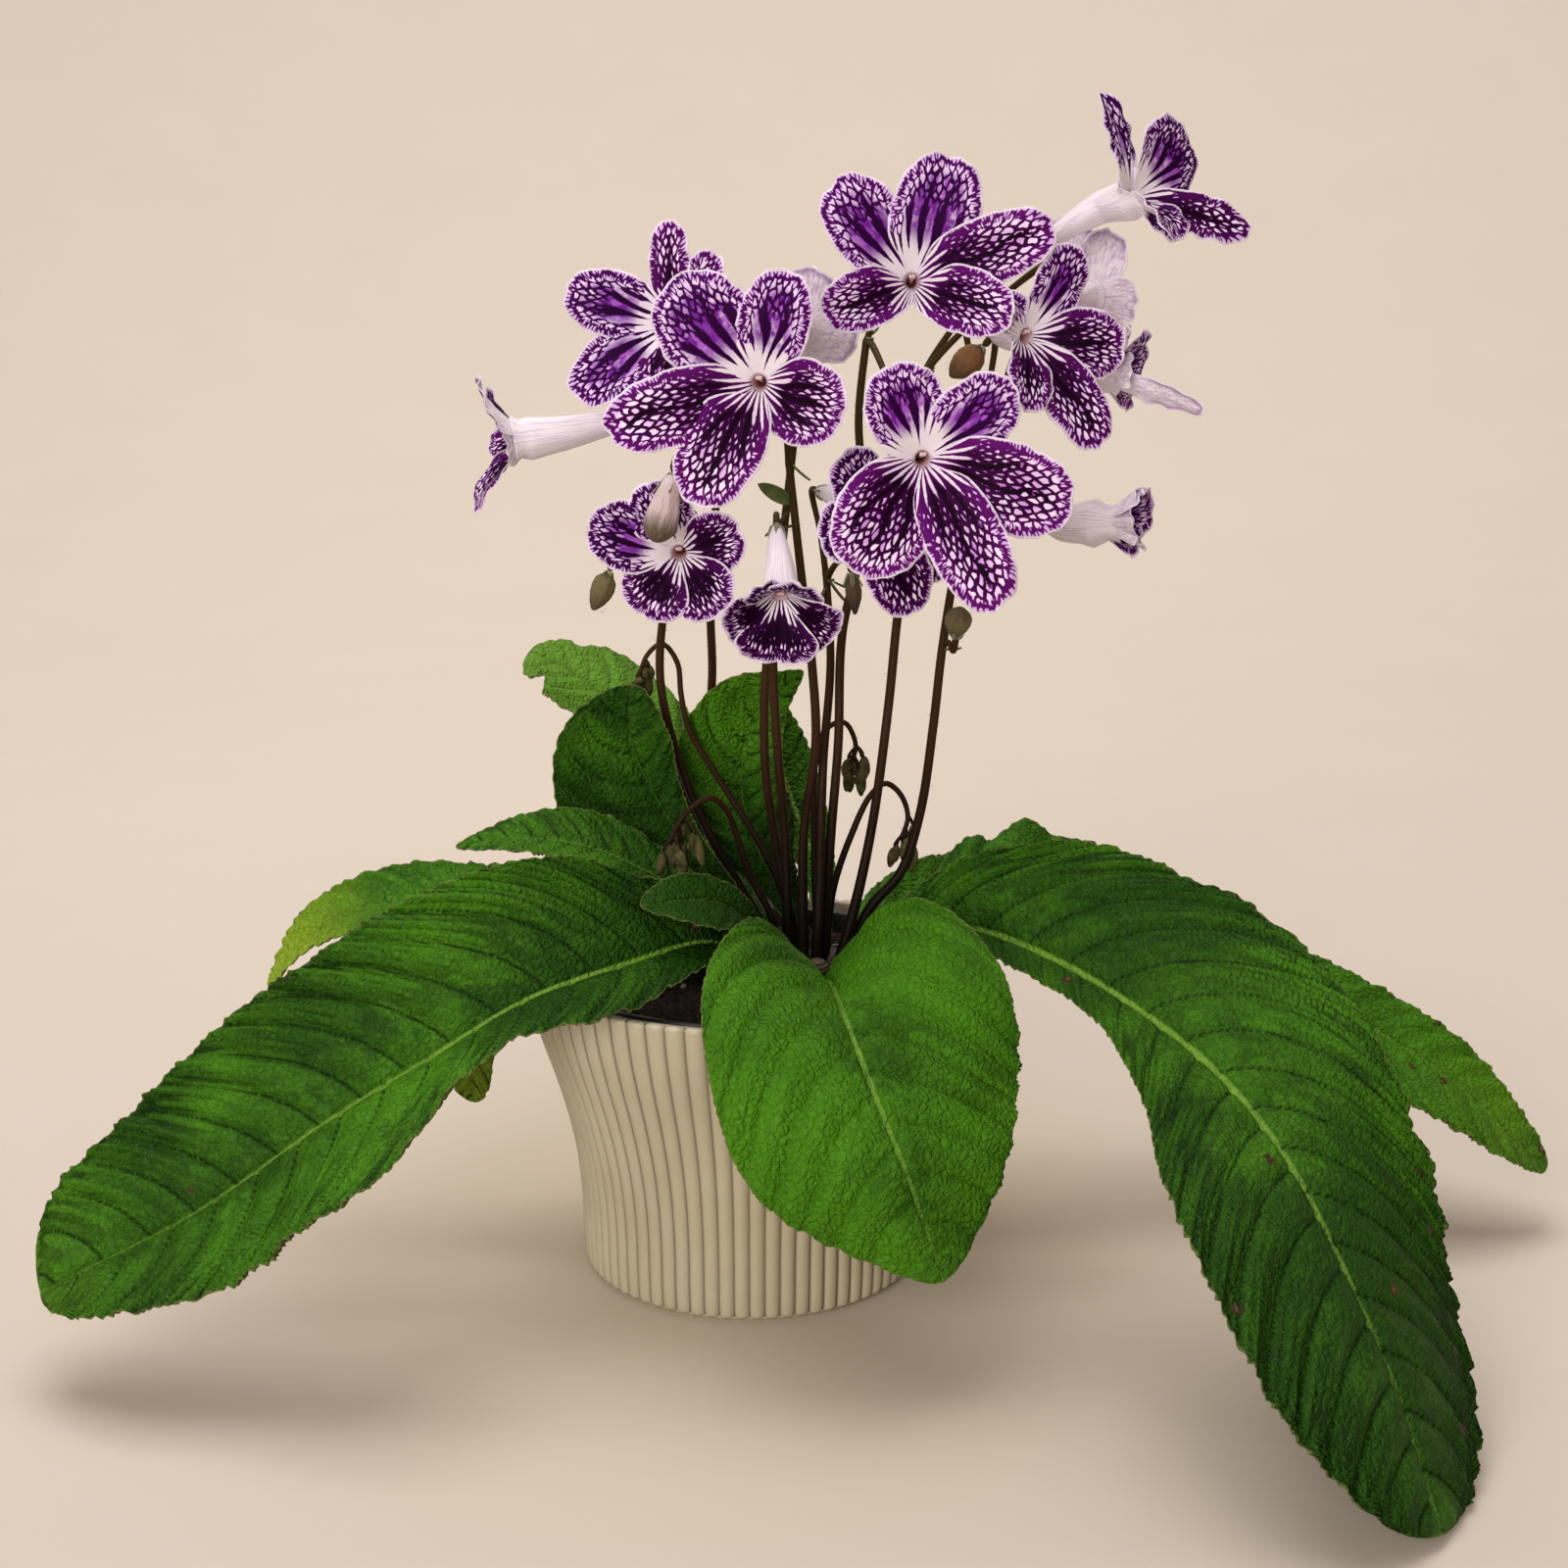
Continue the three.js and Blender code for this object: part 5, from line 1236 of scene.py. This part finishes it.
blend = ease(to_net + ragged * 0.5, 0.3, 0.7)
pale_part = between * (1.0 - blend) + ease(gap - line, -0.035, 0.075) * vein_line * blend
pale = layered((0.56, 0.25, 0.66), ((0.88, 0.69, 0.94), ease(edge + shade * 3.0, 9.5, 3.5)),
               ((0.95, 0.86, 0.97), ease(shade, 0.25, 0.85) * 0.7),
               ((0.56, 0.32, 0.70), ease(edge, 4.0, 1.4, 0, 0.8)))
pale = tone((0.82, 0.74, 0.80), pale, blend)
violet = tone((0.15, 0.014, 0.27), (0.34, 0.09, 0.48), ease(shade, 0.2, 0.9))
violet = tone((0.22, 0.025, 0.27), violet, upper_lip)
pale = tone(pale, violet, wash * ease(petal_face.speckle(160, 2) + ragged * 0.5, 0.18, 0.5))
stain = tone((0.22, 0.03, 0.28), (0.20, 0.02, 0.34), upper_lip)
colour = layered((0.009, 0.0002, 0.008), ((0.030, 0.0009, 0.033), ease(vein_gap, 0.45, 0.95)),
                 ((0.105, 0.004, 0.13), ease(edge, 6.0, 1.2)),
                 # painted shade: deep darkens the net on flowers that sit in shade
                 ((0.036, 0.001, 0.06), upper_lip * 0.5), ((0.007, 0.0002, 0.007), deep * 0.7),
                 (stain, ease(pale_part, 0.0, 0.5)), (pale, ease(pale_part, 0.35, 0.9)),
                 ((0.80, 0.70, 0.83), ease(edge + ragged * 0.9, 0.75, 0.35) * 0.9))
petal_face.paint(colour, 0.6, pale_part * 0.6 + petal_face.speckle(1500, 2), 0.00012, 0.8,
                 specular=0.04)

petal_back = Finish("petal_pale_back")
net = petal_back.mark("net")
to_net = petal_back.parts_of(net)[2]
edge, reach = petal_back.marks("look")[2], petal_back.marks("reach")[0]
streak = put(petal_back.tree, "ShaderNodeTexNoise", {
    "Vector": petal_back.stretched(net, (0.55, 0.35, 0)), "Scale": 2.2, "Detail": 3},
    noise_dimensions="2D")
border, _ = cell_border(petal_back, net, (0, 0, 0), 0.9)
colour = layered((0.81, 0.73, 0.79), ((0.60, 0.47, 0.63), ease(streak, 0.42, 0.75)),
                 ((0.42, 0.24, 0.48), ease(border, 0.16, 0.03, 0, 0.42) * to_net),
                 ((0.20, 0.05, 0.27), ease(edge, 2.6, 0.9) * ease(reach, 9, 14) * 0.6),
                 ((0.80, 0.72, 0.80), ease(edge, 0.8, 0.3)))
petal_back.paint(colour, 0.6, border + petal_back.speckle(1400, 2), 0.00015, 0.8, specular=0.3,
                 sheen=0.2)

throat_pink = Finish("throat_pink")
reach = throat_pink.marks("reach")[0]
vein_at, _, vein_width = throat_pink.marks("vein")
striped = ease(vein_width - abs(vein_at - round(vein_at)), -0.04, 0.06)
# painted shade: the pink turns darker deeper into the tube
colour = layered((0.28, 0.09, 0.09), ((0.62, 0.36, 0.39), ease(reach, 0.95, 1.4)),
                 ((0.76, 0.58, 0.64), ease(reach, 1.6, 2.0)),
                 ((0.10, 0.008, 0.06), striped * ease(reach, 1.6, 2.4)))
throat_pink.paint(colour, 0.5, throat_pink.speckle(1500, 2), 0.00012)

calyx_skin = mottled("calyx_skin", (0.075, 0.070, 0.02), (0.17, 0.16, 0.055), scale=300,
                     low=0.3, high=0.7, rough=0.65, relief_scale=1300, depth=0.0002,
                     sheen=0.4)
stigma_pink = Finish("stigma_pink")
stigma_pink.paint(tone((0.62, 0.36, 0.40), (0.80, 0.62, 0.60), stigma_pink.speckle(900)), 0.4,
                  stigma_pink.speckle(1800, 2), 0.0001)

for number, (name, flower) in enumerate(FLOWERS.items()):
    axes = facing_axes(flower["facing"])
    across, up, out = axes
    throat = np.array(flower["throat"], float)
    start = np.array(PEDICEL_ENDS[name][0], float)
    lobes, deep = flower["lobes"], flower["deep"]
    seed = 31 * number + 7
    shapes = []
    for k, lobe in enumerate(lobes):
        others = [other[0] - lobe[0] for other in lobes if other is not lobe]
        gaps = [min(way * other % 360 for other in others) for way in (1, -1)]
        halves = [radians(min(gap / 2 + 7, 75)) for gap in gaps]
        shapes.append(lobe_shell(throat, axes, lobe, halves, k < 2, deep, seed + 5 * k))
    shapes.append(tube_shell(throat, axes, start, lobes, deep, flower.get("funnel", 1)))
    style = [throat + a * out + b * up for a, b in ((-6, 0.3), (-2, 0.7), (0.6, 1.25))]
    shapes.append(rod(style, [0.5, 0.5, 0.55], rings=10, sides=10, finish=4))
    for aside in (-0.33, 0.33):
        knob = throat + 0.2 * out + 1.1 * up + aside * across
        shapes.append(rod([knob, knob + 0.5 * out + 0.1 * up, knob + 0.9 * out + 0.1 * up],
                          [0.42, 0.55, 0.42], rings=8, sides=12, finish=4))
    for k in range(SEPALS):
        spin = 2 * pi * k / SEPALS + 0.3
        ray = across * cos(spin) + up * sin(spin)
        shapes.append(leaflet(start - 0.4 * out + ray, out + 0.22 * ray, length=5.2, width=0.95,
                              cup=-0.02, finish=3))
    shapes.append(rod([start - out, start, start + 1.2 * out], [0.9, 1.5, 1.7], rings=8,
                      sides=12, finish=3))
    add_piece(name + "_corolla", shapes,
              [petal_face, petal_back, throat_pink, calyx_skin, stigma_pink], name)


# ---- buds ------------------------------------------------------------------------------------
# Single buds on their own pedicels: one large pale lilac bud about to open, small olive ones,
# one dried brown, and an empty calyx left after its flower fell. Soft, hairy and ribbed.
BUDS = {  # the tip, the radii up to it, and which skin
    "bud_pale": [[-22, -35, 198.5], [1.8, 2.5, 3.2, 3.9, 4.3, 2.8], "pale"],
    "bud_low_left": [[-39, -15, 179], [1.2, 2.7, 3.0, 2.7, 1.9, 0.6], "olive"],
    "bud_dry": [[27, -3, 176], [0.9, 1.6, 2.1, 1.9, 1.2, 0.4], "dry"],
    "bud_top_right": [[50, -6, 236], [1.3, 3.2, 3.7, 3.4, 2.5, 0.9], "brown"],
    "bud_calyx": [[54, -4, 178], [1.2, 2.6, 3.3, 3.4, 2.8, 1.2], "olive"],
}
BUD_RINGS, BUD_SIDES = 44, 28
BUD_COLOURS = {  # at the root, on the body and at the tip
    "pale": [(0.56, 0.46, 0.46), (0.54, 0.42, 0.42), (0.10, 0.07, 0.04)],
    "olive": [(0.05, 0.042, 0.016), (0.13, 0.105, 0.045), (0.09, 0.065, 0.03)],
    "brown": [(0.05, 0.045, 0.014), (0.16, 0.07, 0.022), (0.09, 0.045, 0.018)],
    "dry": [(0.04, 0.026, 0.015), (0.085, 0.055, 0.03), (0.05, 0.03, 0.02)],
}


def bud_finish(name, root, body, tip):
    """Skin of a bud, coloured from its root to its tip, with fine lengthwise streaks."""
    skin = Finish(name)
    along, spin, _ = skin.marks("stem")
    at = put(skin.tree, "ShaderNodeCombineXYZ", {
        0: spin.step("SINE", spin), 1: spin.step("COSINE", spin), 2: along * 0.7})
    streak = put(skin.tree, "ShaderNodeTexNoise", {"Vector": at, "Scale": 4.5, "Detail": 5})
    blotch = along + streak * 0.35
    dark = tuple(0.45 * c for c in body)
    colour = layered(root, (body, ease(blotch, 0.22, 0.45)), (tip, ease(blotch, 0.72, 1.05)),
                     (dark, ease(streak, 0.52, 0.72, 0, 0.55)))
    skin.paint(colour, 0.65, streak + skin.speckle(1200), 0.0003, specular=0.2)
    return skin


bud_skins = {kind: bud_finish(f"bud_{kind}_skin", *shades) for kind, shades in BUD_COLOURS.items()}
rng = np.random.default_rng(33)
for name, (end, radii, kind) in BUDS.items():
    start, end = np.array(PEDICEL_ENDS[name][0], float), np.array(end, float)
    run = np.linalg.norm(end - start)
    way = (end - start) / run
    bow = np.cross(way, [1, 0.3, 0.1]) * 0.03 * run
    route = [start, start + way * run / 3 + bow, start + way * run * 2 / 3 + bow, end]
    body = rod(route, radii, BUD_RINGS, BUD_SIDES)
    along, spin, _ = body["marks"]["stem"].T
    ribs = 1 + 0.06 * np.cos(5 * spin + 1.5 * along) * np.sin(pi * along)
    centre = np.repeat(curve_through(route, BUD_RINGS)[0], BUD_SIDES, axis=0)
    body["points"] = centre + (body["points"] - centre) * ribs[:, None]
    shapes = [body]
    side = unit(np.cross(way, [0.2, 1, 0.1]))
    other = np.cross(way, side)
    for turn in steps_round(SEPALS):
        ray = side * cos(turn) + other * sin(turn)
        shapes.append(leaflet(start + 0.8 * ray - 0.3 * way, way + 0.55 * ray,
                              run * rng.uniform(0.30, 0.42), width=0.8, cup=-0.06, finish=1))
    shapes += hairs_on([start + way * run * 0.15, (start + end) / 2, end], max(radii) * 0.95,
                       rng, count=60, length=0.7)
    add_piece(name + "_body", shapes, [bud_skins[kind], calyx_skin], name)


({"cad": [list(map(float, c)) for c in cad_box],
           "visual": [list(map(float, c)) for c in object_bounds()]})
